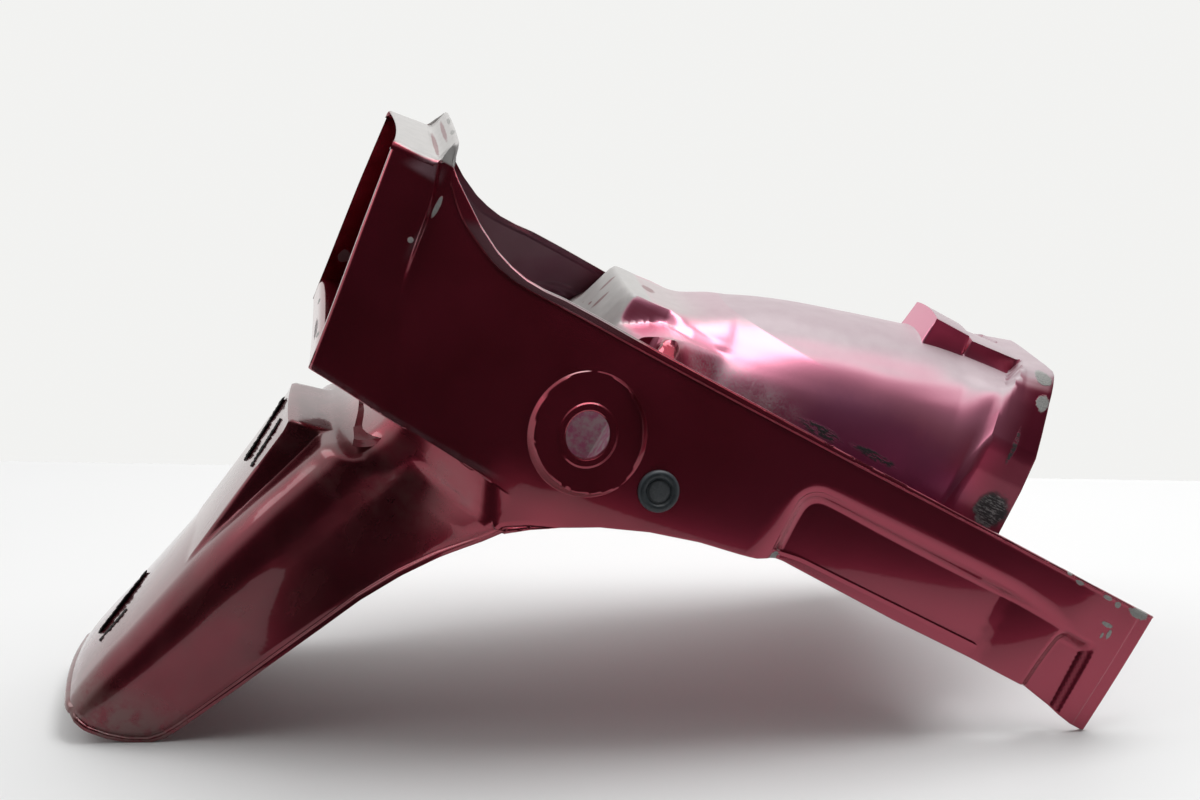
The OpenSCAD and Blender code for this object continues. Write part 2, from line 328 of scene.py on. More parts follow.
# ------------------------------------------------------------------ mesh helpers
def make_object(name, V, faces, mats, mat_index=None, normals=None, sharp=38.0):
    me = bpy.data.meshes.new(name)
    me.from_pydata([tuple(v) for v in V], [], faces)
    me.update()
    for m in mats:
        me.materials.append(m)
    if mat_index is not None:
        me.polygons.foreach_set("material_index", np.asarray(mat_index, np.int32))
    me.polygons.foreach_set("use_smooth", np.ones(len(me.polygons), bool))
    me.set_sharp_from_angle(angle=math.radians(sharp))
    if normals is not None:
        loops = np.zeros(len(me.loops), np.int32)
        me.loops.foreach_get("vertex_index", loops)
        cn = np.zeros(len(me.loops) * 3, np.float32)
        me.corner_normals.foreach_get("vector", cn)
        cn = cn.reshape(-1, 3)
        N = np.asarray(normals, np.float32)[loops]
        use = np.abs(N).sum(1) > 0.1
        # only where the analytic normal agrees with the face
        ok = use & ((N * cn).sum(1) > 0.55)
        cn[ok] = N[ok]
        me.normals_split_custom_set([tuple(v) for v in cn])
    ob = bpy.data.objects.new(name, me)
    bpy.context.scene.collection.objects.link(ob)
    return ob


class Build:
    """collects vertices and faces of one object, in the arm frame"""

    def __init__(self):
        self.V, self.N, self.F, self.n = [], [], [], 0

    def add(self, P, faces, normals=None, flip=False):
        P = np.asarray(P, float)
        self.V.append(P)
        self.N.append(np.zeros_like(P) if normals is None else np.asarray(normals, float))
        o = self.n
        self.F += [tuple(o + i for i in (f[::-1] if flip else f)) for f in faces]
        self.n += len(P)
        return o

    def weld(self, tol=1e-3):
        V = np.vstack(self.V); N = np.vstack(self.N)
        key = np.round(V / tol).astype(np.int64)
        _, first, inv = np.unique(key, axis=0, return_index=True, return_inverse=True)
        inv = inv.reshape(-1)
        F = []
        for f in self.F:
            g = [int(inv[i]) for i in f]
            h = [g[i] for i in range(len(g)) if g[i] != g[i - 1]]
            if len(set(h)) >= 3 and len(set(h)) == len(h):
                F.append(tuple(h))
        return V[first], N[first], F

    def mirrored(self):
        b = Build()
        for V, N in zip(self.V, self.N):
            b.V.append(V * [1, -1, 1]); b.N.append(N * [1, -1, 1])
        b.F = [f[::-1] for f in self.F]
        b.n = self.n
        return b


def inside(poly, Q):
    x, y = Q[:, 0], Q[:, 1]
    c = np.zeros(len(Q), bool)
    n = len(poly)
    for i in range(n):
        x1, y1 = poly[i - 1]; x2, y2 = poly[i]
        if y1 == y2:
            continue
        m = ((y1 > y) != (y2 > y)) & (x < (x2 - x1) * (y - y1) / (y2 - y1) + x1)
        c ^= m
    return c


def thin(P, keep, cell):
    """drop points of P that fall within cell of a kept point or an earlier one (hashed)"""
    grid = {}

    def near(p):
        i, j = int(math.floor(p[0] / cell)), int(math.floor(p[1] / cell))
        for a in (i - 1, i, i + 1):
            for b in (j - 1, j, j + 1):
                for q in grid.get((a, b), ()):
                    if (q[0] - p[0]) ** 2 + (q[1] - p[1]) ** 2 < cell * cell:
                        return True
        return False

    for p in keep:
        grid.setdefault((int(math.floor(p[0] / cell)), int(math.floor(p[1] / cell))), []).append(p)
    out = []
    for p in P:
        if not near(p):
            grid.setdefault((int(math.floor(p[0] / cell)), int(math.floor(p[1] / cell))), []).append(p)
            out.append(p)
    return out


def hexgrid(u0, u1, w0, w1, s):
    out = []
    j = 0
    w = w0
    while w < w1:
        u = u0 + (s / 2 if j % 2 else 0)
        while u < u1:
            out.append((u, w)); u += s
        w += s * 0.866; j += 1
    return np.array(out)


def resample(P, step):
    P = np.array(P, float)
    d = np.hypot(*np.diff(P, axis=0).T)
    L = np.concatenate([[0], np.cumsum(d)])
    n = max(1, int(round(L[-1] / step)))
    s = np.linspace(0, L[-1], n + 1)
    return np.stack([np.interp(s, L, P[:, 0]), np.interp(s, L, P[:, 1])], 1)


# ------------------------------------------------------------------ side panel with flap side
T = 3.0
SEAM_W = np.concatenate([np.linspace(-383.6, -372, 7), np.arange(-368.5, -150, 3.4), np.arange(-149, -110, 2.0), np.arange(-109, -79, 3.0), [-78.4]])


def boundary(step):
    segs = []

    def add(P, st=step):
        Q = resample(P, st)
        segs.append(Q[:-1])
    add(TOP_EDGE)
    add([TOP_EDGE[-1], LOWER[0]])
    add(LOWER)
    add(RIM)
    segs.append(np.array([[-196.0, -385.5]]))
    seam = np.stack([seam_u(SEAM_W), SEAM_W], 1)
    segs.append(seam)
    x = float(seam_u(np.array([-78.4]))[0])
    segs.append(np.array([[x, -76.9]]))
    add([(x - 1.0, -77.4), (-170.4, -77.4)])
    add([(-170.4, -77.4), (-174.5, -40), (-181.5, 20), (-186.8, 72)])
    add([(-186.8, 72), (-158, 76), (-155.6, 80.5), (-153.6, 90), (-152, 94.5)])
    return np.vstack(segs), len(seam)


def circle(c, r, n, ph=0.0):
    a = np.arange(n) * 2 * np.pi / n + ph
    return np.stack([c[0] + r * np.cos(a), c[1] + r * np.sin(a)], 1)


PLUG_C = (65.0, -36.7)


def side_points(fine):
    """points that follow the features"""
    L = []
    if fine:
        for o in (-2.6, -0.75, -0.25, 0.25, 0.75, 2.2):
            L.append(CREASE.sample(2.2, o))
        for r, n in ((42, 110), (40.4, 150), (39.8, 150), (39, 140), (37.8, 136), (36.4, 130), (35, 120), (33, 110), (31, 90), (20.9, 90), (20.3, 90), (19.7, 90), (19.1, 80), (17.3, 72), (16.2, 72), (15.5, 72)):
            L.append(circle(HOLE_C, r, n))
        for r, n in ((18, 60), (15, 60), (12, 40)):
            L.append(circle(PLUG_C, r, n))
        for ln, offs in ((rec_out, (0, -2.2, -4.4, -6.6)), (rec_top, (1.0, 0, -1.0, -2.2, -3.6)), (rec_bot, (1.3, 0, -1.2, -2.4))):
            for o in offs:
                L.append(ln.sample(2.0, o))
        gp = GROOVE.sample(2.5)
        Tn = np.gradient(gp, axis=0); Tn /= np.hypot(Tn[:, 0], Tn[:, 1])[:, None]
        Nn = np.stack([-Tn[:, 1], Tn[:, 0]], 1)
        wid = np.interp(gp[:, 1], [-75, -30, 10, 60], [14, 9, 6, 3.2])
        for f in (-0.75, -0.5, -0.3, -0.1, 0.1, 0.3, 0.5, 0.75):
            L.append(gp + Nn * (f * wid)[:, None])
        for o in (-2.4, -1.0, -0.8, -0.25, 0.25, 0.8, 1.6, 3.2):
            L.append(OVER.sample(2.2, o))
        for w in (-74.5, -71, -67.5, -64, -61):
            L.append(np.stack([np.arange(-168, -60, 3.0), np.full(36, w)], 1))
        for o in (0.35, 0.8, 2.2, 3.4, 3.9, 4.4, 5.2, 6.6, 8.5):
            L.append(lip_line.sample(2.4, -o)); L.append(lip_line.sample(2.4, o))
        for o in (0.3, 0.9, 1.8):
            for e in (EDGE_TOP, EDGE_LOW):
                L.append(e.sample(2.4, -o)); L.append(e.sample(2.4, o))
        for o in (0.4, 1.0, 1.7, 2.4, 3.6):
            L.append(BOX_REAR.sample(2.2, -o)); L.append(BOX_REAR.sample(2.2, o))
        for o in (0.3, 0.8, 1.6):
            L.append(BOX_LOW.sample(2.4, -o)); L.append(BOX_LOW.sample(2.4, o))
        ww = np.arange(-53, 38, 2.2)
        for o in (-1.0, 0.0, 0.6, 1.2, 2.4):
            L.append(np.stack([413.6 + 0.025 * (ww + 52) + o, ww], 1))
        for o in (0.3, 0.9, 1.8):
            L.append(np.stack([424.4 + 2.0 * (ww + 55.2) / 94.4 - o, ww], 1))
        L.append(hexgrid(355, 406, -52, 14, 2.2))
        for d in (0, 3, 6):
            L.append(np.stack([seam_u(SEAM_W) + d, SEAM_W + 0.01], 1))
        L.append(hexgrid(-190, -96, -76, 94, 5.0))
        L.append(hexgrid(-215, 30, -388, -60, 5.0))
        L.append(hexgrid(-60, 160, -105, 45, 6.2))
        L.append(hexgrid(130, 428, -55, 45, 6.2))
        L.append(hexgrid(-190, 430, -110, 96, 5.2))
    else:
        for r, n in ((41, 72), (39.4, 72), (36, 60), (30, 40), (20, 40), (16.5, 48)):
            L.append(circle(HOLE_C, r, n))
        L.append(circle(PLUG_C, 13, 30))
        for o in (-0.8, 0.8):
            L.append(CREASE.sample(5.0, o))
            L.append(Line([(-190, -74.6), (-133, -74.6), (-105, -73.6), (-75, -74.6), (-35, -77)]).sample(4.0, o))
        for ln in (rec_out, rec_top, rec_bot):
            L.append(ln.sample(5.0))
        gp = GROOVE.sample(6.0)
        L.append(gp + [-4, 0]); L.append(gp + [4, 0])
        L.append(hexgrid(355, 406, -52, 14, 5.0))
        L.append(hexgrid(-215, 430, -388, 96, 9.0))
    return L


def side_sheet():
    B, n_seam = boundary(2.4)
    holes = [circle(HOLE_C, HOLE_R, 72), circle(PLUG_C, 10.0, 36)]
    bl = Line(B, closed=True)
    out = Build()
    loops = []
    for fine in (True, False):
        fixed = [tuple(p) for p in B] + [tuple(p) for h in holes for p in h]
        edges = []
        nb = len(B)
        edges += [(i, (i + 1) % nb) for i in range(nb)]
        o = nb
        for h in holes:
            m = len(h)
            edges += [(o + i, o + (i + 1) % m) for i in range(m)]
            o += m
        P = []
        keep = list(fixed)
        for k, group in enumerate(side_points(fine)):
            g = np.asarray(group, float)
            m = inside(B, g)
            for c, r in ((HOLE_C, HOLE_R + 0.35), (PLUG_C, 10.8)):
                m &= np.hypot(g[:, 0] - c[0], g[:, 1] - c[1]) > r
            g = g[m]
            if len(g) == 0:
                continue
            dense = np.hypot(*(g[1:] - g[:-1]).T).min() if len(g) > 1 else 2.0
            P.append(g)
        # feature points are kept first, then the grids fill what is left
        allp = []
        grid_from = len(P) - (5 if fine else 1)
        feat = np.vstack(P[:grid_from])
        feat = thin([tuple(p) for p in feat], keep, 0.24 if fine else 1.5)
        keep = keep + feat
        rest = []
        for g in P[grid_from:]:
            cell = 2.3 if fine else 4.5
            q = thin([tuple(p) for p in g], keep, cell)
            keep = keep + q
            rest += q
        pts = fixed + feat + rest
        res = delaunay_2d_cdt([Vector(p) for p in pts], edges, [], 0, 1e-5, True)
        V2 = np.array([tuple(v) for v in res[0]])
        tri = np.array([tuple(f) for f in res[2] if len(f) == 3])
        orig = res[3]
        back = {}
        for i, lst in enumerate(orig):
            for k in lst:
                back[k] = i
        cen = V2[tri].mean(1)
        m = inside(B, cen)
        for c, r in ((HOLE_C, HOLE_R), (PLUG_C, 10.0)):
            m &= np.hypot(cen[:, 0] - c[0], cen[:, 1] - c[1]) > r * 0.998
        tri = tri[m]
        u, w = V2[:, 0], V2[:, 1]
        a = V2[tri[:, 0]]; b = V2[tri[:, 1]]; c = V2[tri[:, 2]]
        area = (b[:, 0] - a[:, 0]) * (c[:, 1] - a[:, 1]) - (b[:, 1] - a[:, 1]) * (c[:, 0] - a[:, 0])
        tri = tri[np.abs(area) > 1e-6]; area = area[np.abs(area) > 1e-6]
        tri[area < 0] = tri[area < 0][:, ::-1]
        if fine:
            Y = side(u, w)
            e = 0.2
            Yu = (side(u + e, w) - side(u - e, w)) / (2 * e)
            Yw = (side(u, w + e) - side(u, w - e)) / (2 * e)
            N = np.stack([-Yu, -np.ones_like(Yu), -Yw], 1)
            N /= np.linalg.norm(N, axis=1)[:, None]
            steep = (np.abs(Yu) > 3) | (np.abs(Yw) > 3)
            N[steep] = 0
        else:
            Y = side(u, w, True, 3.0) - T
            N = None
        used = np.unique(tri)
        remap = -np.ones(len(V2), int); remap[used] = np.arange(len(used))
        P3 = np.stack([u, -Y, w], 1)[used]
        # (u, w) counted from outside the near panel: u to the right, w up
        o = out.add(P3, [tuple(remap[t]) for t in tri], None if N is None else N[used], flip=not fine)
        loops.append([o + remap[back[i]] for i in range(len(fixed))])
    nb = len(B)
    lo, li = loops
    s0 = int(np.argmin(np.abs(B[:, 0] - seam_u(SEAM_W)[0]) + np.abs(B[:, 1] - SEAM_W[0])))
    seam = range(s0, s0 + n_seam - 1)
    for k in range(nb):
        if k in seam:
            continue
        a, b = k, (k + 1) % nb
        out.F.append((lo[a], lo[b], li[b], li[a]))
    o = nb
    for h in holes:
        m = len(h)
        for k in range(m):
            a, b = o + k, o + (k + 1) % m
            out.F.append((lo[a], lo[b], li[b], li[a]))
        o += m
    V = np.vstack(out.V)
    ks = list(range(s0, s0 + n_seam))
    return out, V[[lo[k] for k in ks]], V[[li[k] for k in ks]]


def polygon_area(B):
    x, y = B[:, 0], B[:, 1]
    return 0.5 * np.sum(x * np.roll(y, -1) - np.roll(x, -1) * y)


def grid_faces(n, m, o=0):
    F = []
    for i in range(n - 1):
        for j in range(m - 1):
            a = o + i * m + j
            F.append((a, a + 1, a + m + 1, a + m))
    return F


def grid_normals(G):
    du = np.gradient(G, axis=0); dv = np.gradient(G, axis=1)
    N = np.cross(dv, du)
    L = np.linalg.norm(N, axis=2)
    L[L < 1e-9] = 1
    return N / L[:, :, None]


def slab(G, t, flip=False, inner=None, skip=()):
    """closed solid between a grid of points and its offset; normals of G point outwards
    when rows x columns follow dv x du. skip names open edges: r0 r1 c0 c1"""
    n, m = G.shape[:2]
    N = grid_normals(G) * (-1 if flip else 1)
    H = G - N * t if inner is None else inner
    b = Build()
    b.add(np.vstack([G.reshape(-1, 3), H.reshape(-1, 3)]), [])
    q = n * m
    F = grid_faces(n, m)
    if flip:
        F = [f[::-1] for f in F]
    # faces of grid_faces run column first: normal is dv x du
    inn = [tuple(i + q for i in f[::-1]) for f in F]
    side_f = []
    loop = []
    if "r0" not in skip:
        loop += [(j, j + 1) for j in range(m - 1)]
    if "c1" not in skip:
        loop += [(i * m + m - 1, (i + 1) * m + m - 1) for i in range(n - 1)]
    if "r1" not in skip:
        loop += [((n - 1) * m + j + 1, (n - 1) * m + j) for j in range(m - 1)]
    if "c0" not in skip:
        loop += [((i + 1) * m, i * m) for i in range(n - 1)]
    for x, y in loop:
        f = (y, x, x + q, y + q)
        side_f.append(f if not flip else f[::-1])
    b.F = F + inn + side_f
    return b


# ------------------------------------------------------------------ mudflap crown
def crown_loft(seam_o, seam_i):
    rows = len(SEAM_W)
    edge = [52.9, 52.2, 51.4, 50.4, 49.2, 47.6]
    ycols = [56.0, 54.4] + edge + [44, 39, 33, 27, 21, 15, 10, 5, 0]
    arc = np.linspace(0, 1, 11)
    G, H = [], []
    for i, w in enumerate(SEAM_W):
        wa = np.array([w])
        uc, yc, R, a0, yk = [float(np.atleast_1d(v)[0]) for v in corner(wa)]
        ur = float(flap_rear(wa)[0])
        row = []
        psi0, psi1 = SEAM_ANG, math.pi / 2 - a0
        for q in arc:
            ps = psi0 + (psi1 - psi0) * q
            row.append([uc - R * math.sin(ps), yc + R * math.cos(ps)])
        row[0][1] = float(-seam_o[i][1])
        k = min(1.0, yk / 60.0)
        y_first = yk + (60.0 * k - yk) * 0
        ys = [yk + (56.0 * k - yk) * f for f in (0.33, 0.66)] + [y * k for y in ycols]
        for y in ys:
            row.append([ur + y * y / CROWN, y])
        out = []
        for u, y in row:
            # raised pad
            top = sstep((-123.0 - w) / 7.5)
            line = np.interp(w, [-249, -139], [-177.5, -161.0]) + y * y / 1500.0
            base = u
            e = sstep((53.2 - abs(y)) / 5.0) * top
            pu = base + min(0.0, line - base) * e
            pu = pu if w > -252 else base
            # lip along the trailing edge
            d = w + 383.0
            lip = np.interp(d, [0, 3.4, 4.4, 5.2, 6.6], [1.3, 1.2, -0.55, -0.45, 0.0])
            rd = 0.8 - math.sqrt(max(0.0, 0.64 - max(0.0, 0.8 - d) ** 2))
            out.append([pu - lip + rd, -y, w])
        out[0] = [seam_o[i][0], seam_o[i][1], w]
        # ease the first columns onto the seam
        full = out + [[p[0], -p[1], p[2]] for p in out[-2::-1]]
        G.append(full)
        inn = []
        m = len(out)
        for j, p in enumerate(out):
            if j < len(arc):
                q = arc[j]
                ang = (math.pi / 2) * q
                inn.append([p[0] + T * math.sin(ang), p[1] + T * math.cos(ang), w])
            else:
                inn.append([p[0] + T, p[1], w])
        inn[0] = list(seam_i[i])
        H.append(inn + [[p[0], -p[1], p[2]] for p in inn[-2::-1]])
    return slab(np.array(G), T, flip=True, inner=np.array(H), skip=("c0", "c1"))


# ------------------------------------------------------------------ plates across the shell
def strip(profile, half, t, n=25, step=4.0, flip=False, crown=0.0, round_it=2, ends=None):
    """a bent plate: profile in (u, w) swept across y from -half to half"""
    P = rounded(profile, it=round_it) if round_it else np.array(profile, float)
    P = resample(P, step)
    G = np.zeros((len(P), n, 3))
    for i, (u, w) in enumerate(P):
        h = half(u, w) if callable(half) else half
        h = float(np.atleast_1d(h)[0])
        y = np.linspace(-h, h, n)
        G[i, :, 0] = u; G[i, :, 1] = y; G[i, :, 2] = w
        if crown:
            G[i, :, 2] += crown * (1 - (y / h) ** 2)
    return slab(G, t, flip=flip)


def wall_half(u, w, back=1.5):
    return side(np.array([u]), np.array([w]), False) - back


def rounded_box(c0, c1, r=1.5, seg=3, lean=(0, 0, 0, 0)):
    """box between two corners in the arm frame with rounded edges, made from a cube grid"""
    c0, c1 = np.array(c0, float), np.array(c1, float)
    b = Build()
    mid, hs = (c0 + c1) / 2, (c1 - c0) / 2
    ax = []
    for h in hs:
        rr = min(r, h * 0.49)
        e = [h - rr + rr * math.sin(math.pi / 2 * k / seg) for k in range(seg + 1)]
        inner = np.linspace(-(h - rr), h - rr, 4)
        a = [-x for x in e[::-1]] + list(inner[1:-1]) + e
        ax.append(np.array(a))
    for d in range(3):
        o1, o2 = (d + 1) % 3, (d + 2) % 3
        for sgn in (-1, 1):
            A, B = np.meshgrid(ax[o1], ax[o2], indexing="ij")
            P = np.zeros(A.shape + (3,))
            P[..., o1], P[..., o2] = A, B
            P[..., d] = sgn * hs[d]
            rr = min(r, hs.min() * 0.49)
            q = np.clip(P, -(hs - rr), hs - rr)
            v = P - q
            L = np.linalg.norm(v, axis=2); L[L < 1e-9] = 1
            P = q + v / L[..., None] * rr
            F = grid_faces(*A.shape)
            F = [f[::-1] for f in F] if sgn > 0 else F
            F = [f[::-1] for f in F]
            F = [f[::-1] for f in F] if False else F
            b.add(P.reshape(-1, 3) + mid, F)
    return b


def tilted(b, piv, ang):
    """turn a build in the (u, w) plane about a point"""
    c, s_ = math.cos(ang), math.sin(ang)
    for V in b.V:
        du, dw = V[:, 0] - piv[0], V[:, 2] - piv[1]
        V[:, 0] = piv[0] + du * c - dw * s_
        V[:, 2] = piv[1] + du * s_ + dw * c
    return b


# ------------------------------------------------------------------ bay floor, ramp and inner wheel arch
# half sections of the arch from crown to foot as (y, w)
ARCH = [
    (70, [(0, 72.5), (20, 71.8), (34, 70), (44, 66.5), (52, 62), (58, 57), (66, 52.5), (76, 40), (86, 16), (91.5, -22), (92, -60)]),
    (84, [(0, 80.5), (19, 79.5), (33, 76), (43, 71), (51, 65.5), (58, 59.5), (66, 52.5), (77, 40), (86, 18), (91.5, -18), (92, -58)]),
    (104, [(0, 90), (18, 88.8), (32, 85), (43, 79), (52, 72), (60, 65), (69, 56), (78, 44), (86, 24), (91.5, -10), (92, -52)]),
    (132, [(0, 100.3), (18, 99), (33, 95), (45, 88.5), (54, 81), (62, 73.5), (71, 62), (79, 49), (86.5, 27), (91.5, -6), (92, -44)]),
    (165, [(0, 110.6), (18, 109), (33, 104.5), (45, 98), (55, 90), (63, 82), (72, 69), (80, 54), (87, 31), (91.5, 0), (92, -40)]),
    (195, [(0, 119.2), (18, 117.6), (33, 112.8), (45, 105.5), (55, 97), (63, 89.5), (72, 77), (80, 61), (87, 36), (91.5, 2), (92, -37)]),
    (228, [(0, 127.5), (18, 126), (33, 121.5), (45, 114.5), (55, 106), (63, 97.5), (72, 85), (80, 67), (87, 40), (91.5, 5), (92, -36)]),
    (248, [(0, 129.5), (18, 128.5), (33, 125), (45, 120), (56, 113.5), (64, 105), (73, 92), (81, 74), (88, 46), (91.6, 8), (92, -36)]),
    (264, [(0, 130), (18, 129.5), (34, 127.5), (47, 124.5), (59, 121), (67, 116), (75, 103), (82.5, 84), (88.5, 54), (91.6, 12), (92, -36)]),
    (276, [(0, 131), (18, 130.5), (34, 129), (48, 127), (60, 125), (68.5, 120), (77, 107), (84, 90), (89, 60), (91.6, 16), (92, -36)]),
    (290, [(0, 132), (18, 131.5), (34, 130.5), (48, 129.5), (60, 127.5), (68.5, 121), (78, 108), (85, 92), (89.5, 66), (91.6, 20), (92, -36)]),
    (309, [(0, 134), (18, 134), (34, 133.5), (48, 133), (60, 130), (69, 122), (78.5, 108), (86, 94), (90.5, 70), (91.8, 24), (92, -36)]),
]
BAND = ([0, 30, 44, 50, 56, 62, 70, 79, 88, 91.5, 92], [146.5, 146.5, 146, 144.5, 140, 134, 123, 109, 93, 66, -36])
RAMP_S = [(-200, -122), (-123, -115.5), (-105, -110.5), (-76, -91), (-43, -61), (-20, -33), (0, -7), (9, 6.5), (14, 12.8), (20, 23), (23.4, 33), (26, 41), (34, 67), (60, 150)]
RAMP_O = [(-200, -122), (-123, -115.5), (-105, -110.5), (-84, -97), (-64, -82), (-44, -74), (-8, -72), (3, -66), (7.5, -50), (9, -20), (10, 6.5), (14, 12.8), (20, 23), (23.4, 33), (26, 41), (34, 67), (60, 150)]
RAMP_N = [(-200, -122), (-123, -115.5), (-105, -110.5), (-84, -97), (-64, -82), (-44, -74), (10, -73), (20, -70), (24.5, -60), (25.3, -20), (26, 20), (27.5, 41), (34, 67), (60, 150)]
SHIFT = ([0, 30, 42, 52, 62, 85, 110, 139, 160], [28, 27, 25, 21.5, 17, 11, 6, 0, 0])
SHELF = ([-30, 5, 15, 22, 30, 36, 44, 56, 70, 82, 90], [35, 36, 39.5, 43.5, 47.6, 50.2, 51, 51, 51.3, 50.8, 50.5])
CROWNW = ([-30, 2, 10, 27, 38, 46, 58, 70, 84], [57.6, 57.6, 58.8, 59.4, 60.6, 61.6, 65.4, 72.5, 80.5])
EDGEW = ([-30, 6, 15, 27, 38, 46, 52, 61, 71, 82], [57.2, 57.4, 58.3, 58.8, 59.9, 59.6, 57.8, 57.4, 57.2, 58.3])
EDGEY = ([-30, 38, 46, 52, 61, 71, 82], [46, 46.5, 49.5, 52, 55, 57.5, 60])
FOOTY = ([-30, 5, 15, 30, 38, 44, 56, 70, 84], [62, 60, 56.5, 52, 51.5, 60, 68, 66, 64])
RIDGE = Line(rounded([(26.5, 165), (26.5, 131), (26.5, 118), (32, 104), (43, 90.5), (55.6, 78.5), (70, 69), (84, 64.5), (110, 63.5), (140, 63.5)]))
WEBW = ([-60, 24, 72, 125, 176, 330], [-74, -76, -58, -42, -34.5, -34.5])


def smin(a, b, k):
    h = np.clip(0.5 + 0.5 * (b - a) / k, 0, 1)
    return b + (a - b) * h - k * h * (1 - h)


def spline(P, n):
    """open Catmull-Rom through P"""
    P = np.asarray(P, float)
    Q = np.vstack([2 * P[0] - P[1], P, 2 * P[-1] - P[-2]])
    out = []
    m = len(P) - 1
    for s in np.linspace(0, m, n):
        i = min(int(s), m - 1); t = s - i
        p0, p1, p2, p3 = Q[i], Q[i + 1], Q[i + 2], Q[i + 3]
        out.append(0.5 * ((2 * p1) + (-p0 + p2) * t + (2 * p0 - 5 * p1 + 4 * p2 - p3) * t * t + (-p0 + 3 * p1 - 3 * p2 + p3) * t ** 3))
    return np.array(out)


ARCH_U = np.array([a[0] for a in ARCH], float)
ARCH_C = np.array([a[1] for a in ARCH], float)


def arch_row(u, ycol):
    """height of the arch at u over columns of |y| up to the foot at 92"""
    C = np.zeros((ARCH_C.shape[1], 2))
    x = ARCH_U; h = np.diff(x)
    i = int(np.clip(np.searchsorted(x, u, side="right") - 1, 0, len(x) - 2))
    t = float(np.clip((u - x[i]) / h[i], 0, 1))
    for k in range(C.shape[0]):
        for d in range(2):
            y = ARCH_C[:, k, d]
            dl = np.diff(y) / h
            def slope(j):
                if j <= 0: return dl[0]
                if j >= len(x) - 1: return dl[-1]
                p, q = dl[j - 1], dl[j]
                return 2 * p * q / (p + q) if p * q > 0 else (p + q) * 0.25
            m0, m1 = slope(i), slope(i + 1)
            C[k, d] = ((2 * t ** 3 - 3 * t ** 2 + 1) * y[i] + (t ** 3 - 2 * t ** 2 + t) * h[i] * m0
                       + (-2 * t ** 3 + 3 * t ** 2) * y[i + 1] + (t ** 3 - t ** 2) * h[i] * m1)
    S = spline(C, 90)
    yy = np.maximum.accumulate(S[:, 0] + np.arange(len(S)) * 1e-6)
    return np.interp(ycol, yy, S[:, 1])


def rear_deck(u, y, near=False):
    """ramp, block and shelf for u below about 90"""
    sh = np.interp(y, *SHIFT)
    s_ = u + sh
    rs = np.array(RAMP_S)
    steep = np.interp(s_, rs[:, 0], rs[:, 1])
    ro = np.array(RAMP_N if near else RAMP_O)
    k = sstep((y - 92.5) / 3.0)
    steep = steep * (1 - k) + np.interp(u if near else s_, ro[:, 0], ro[:, 1]) * k
    crown, ew, yb = np.interp(u, *CROWNW), np.interp(u, *EDGEW), np.interp(u, *EDGEY)
    foot, shelf = np.interp(u, *FOOTY), np.interp(u, *SHELF)
    t = np.clip(y / yb, 0, 1)
    top = ew + (crown - ew) * (1 - t ** 4)
    f = np.clip((y - yb) / (foot - yb), 0, 1)
    g = sstep(f) * 0.6 + f * 0.4
    top = top + (shelf - ew) * g
    base = smin(steep, top, 7.0)
    d = RIDGE.dist(u, y)
    d = np.maximum(0, d)
    fall = np.interp(d, [0, 2, 5, 9, 17, 24, 28, 31, 36, 60], [0, 0.5, 3.6, 10, 27, 49, 72, 92, 122, 150])
    if near:
        return np.minimum(base - fall, np.interp(y, [90, 100, 112, 150], [200, 48, 38.5, 38]))
    return base - fall


def outer_floor(u, y, near=False):
    """height of the deck outside the arch, towards the panel"""
    web = np.interp(u, *WEBW)
    r = rear_deck(np.full(y.shape, u), y, near) if u < 92 else np.full(y.shape, web)
    if u >= 20:
        r = np.maximum(r, web)
    if 72 < u < 92:
        k = float(sstep(np.array((u - 72) / 18.0)))
        r = r * (1 - k) + web * k
    return r


COLS = np.concatenate([np.arange(0, 21, 4.0), [22.5, 23.8, 24.6, 25.4, 26.2, 27.0, 27.8, 28.8, 30.5, 33.5, 37, 40],
                       np.arange(41.8, 71, 1.5), np.arange(72.5, 86, 2.4), [86.6, 88, 89.2, 90.2, 90.9, 91.4, 91.8, 92.0]])


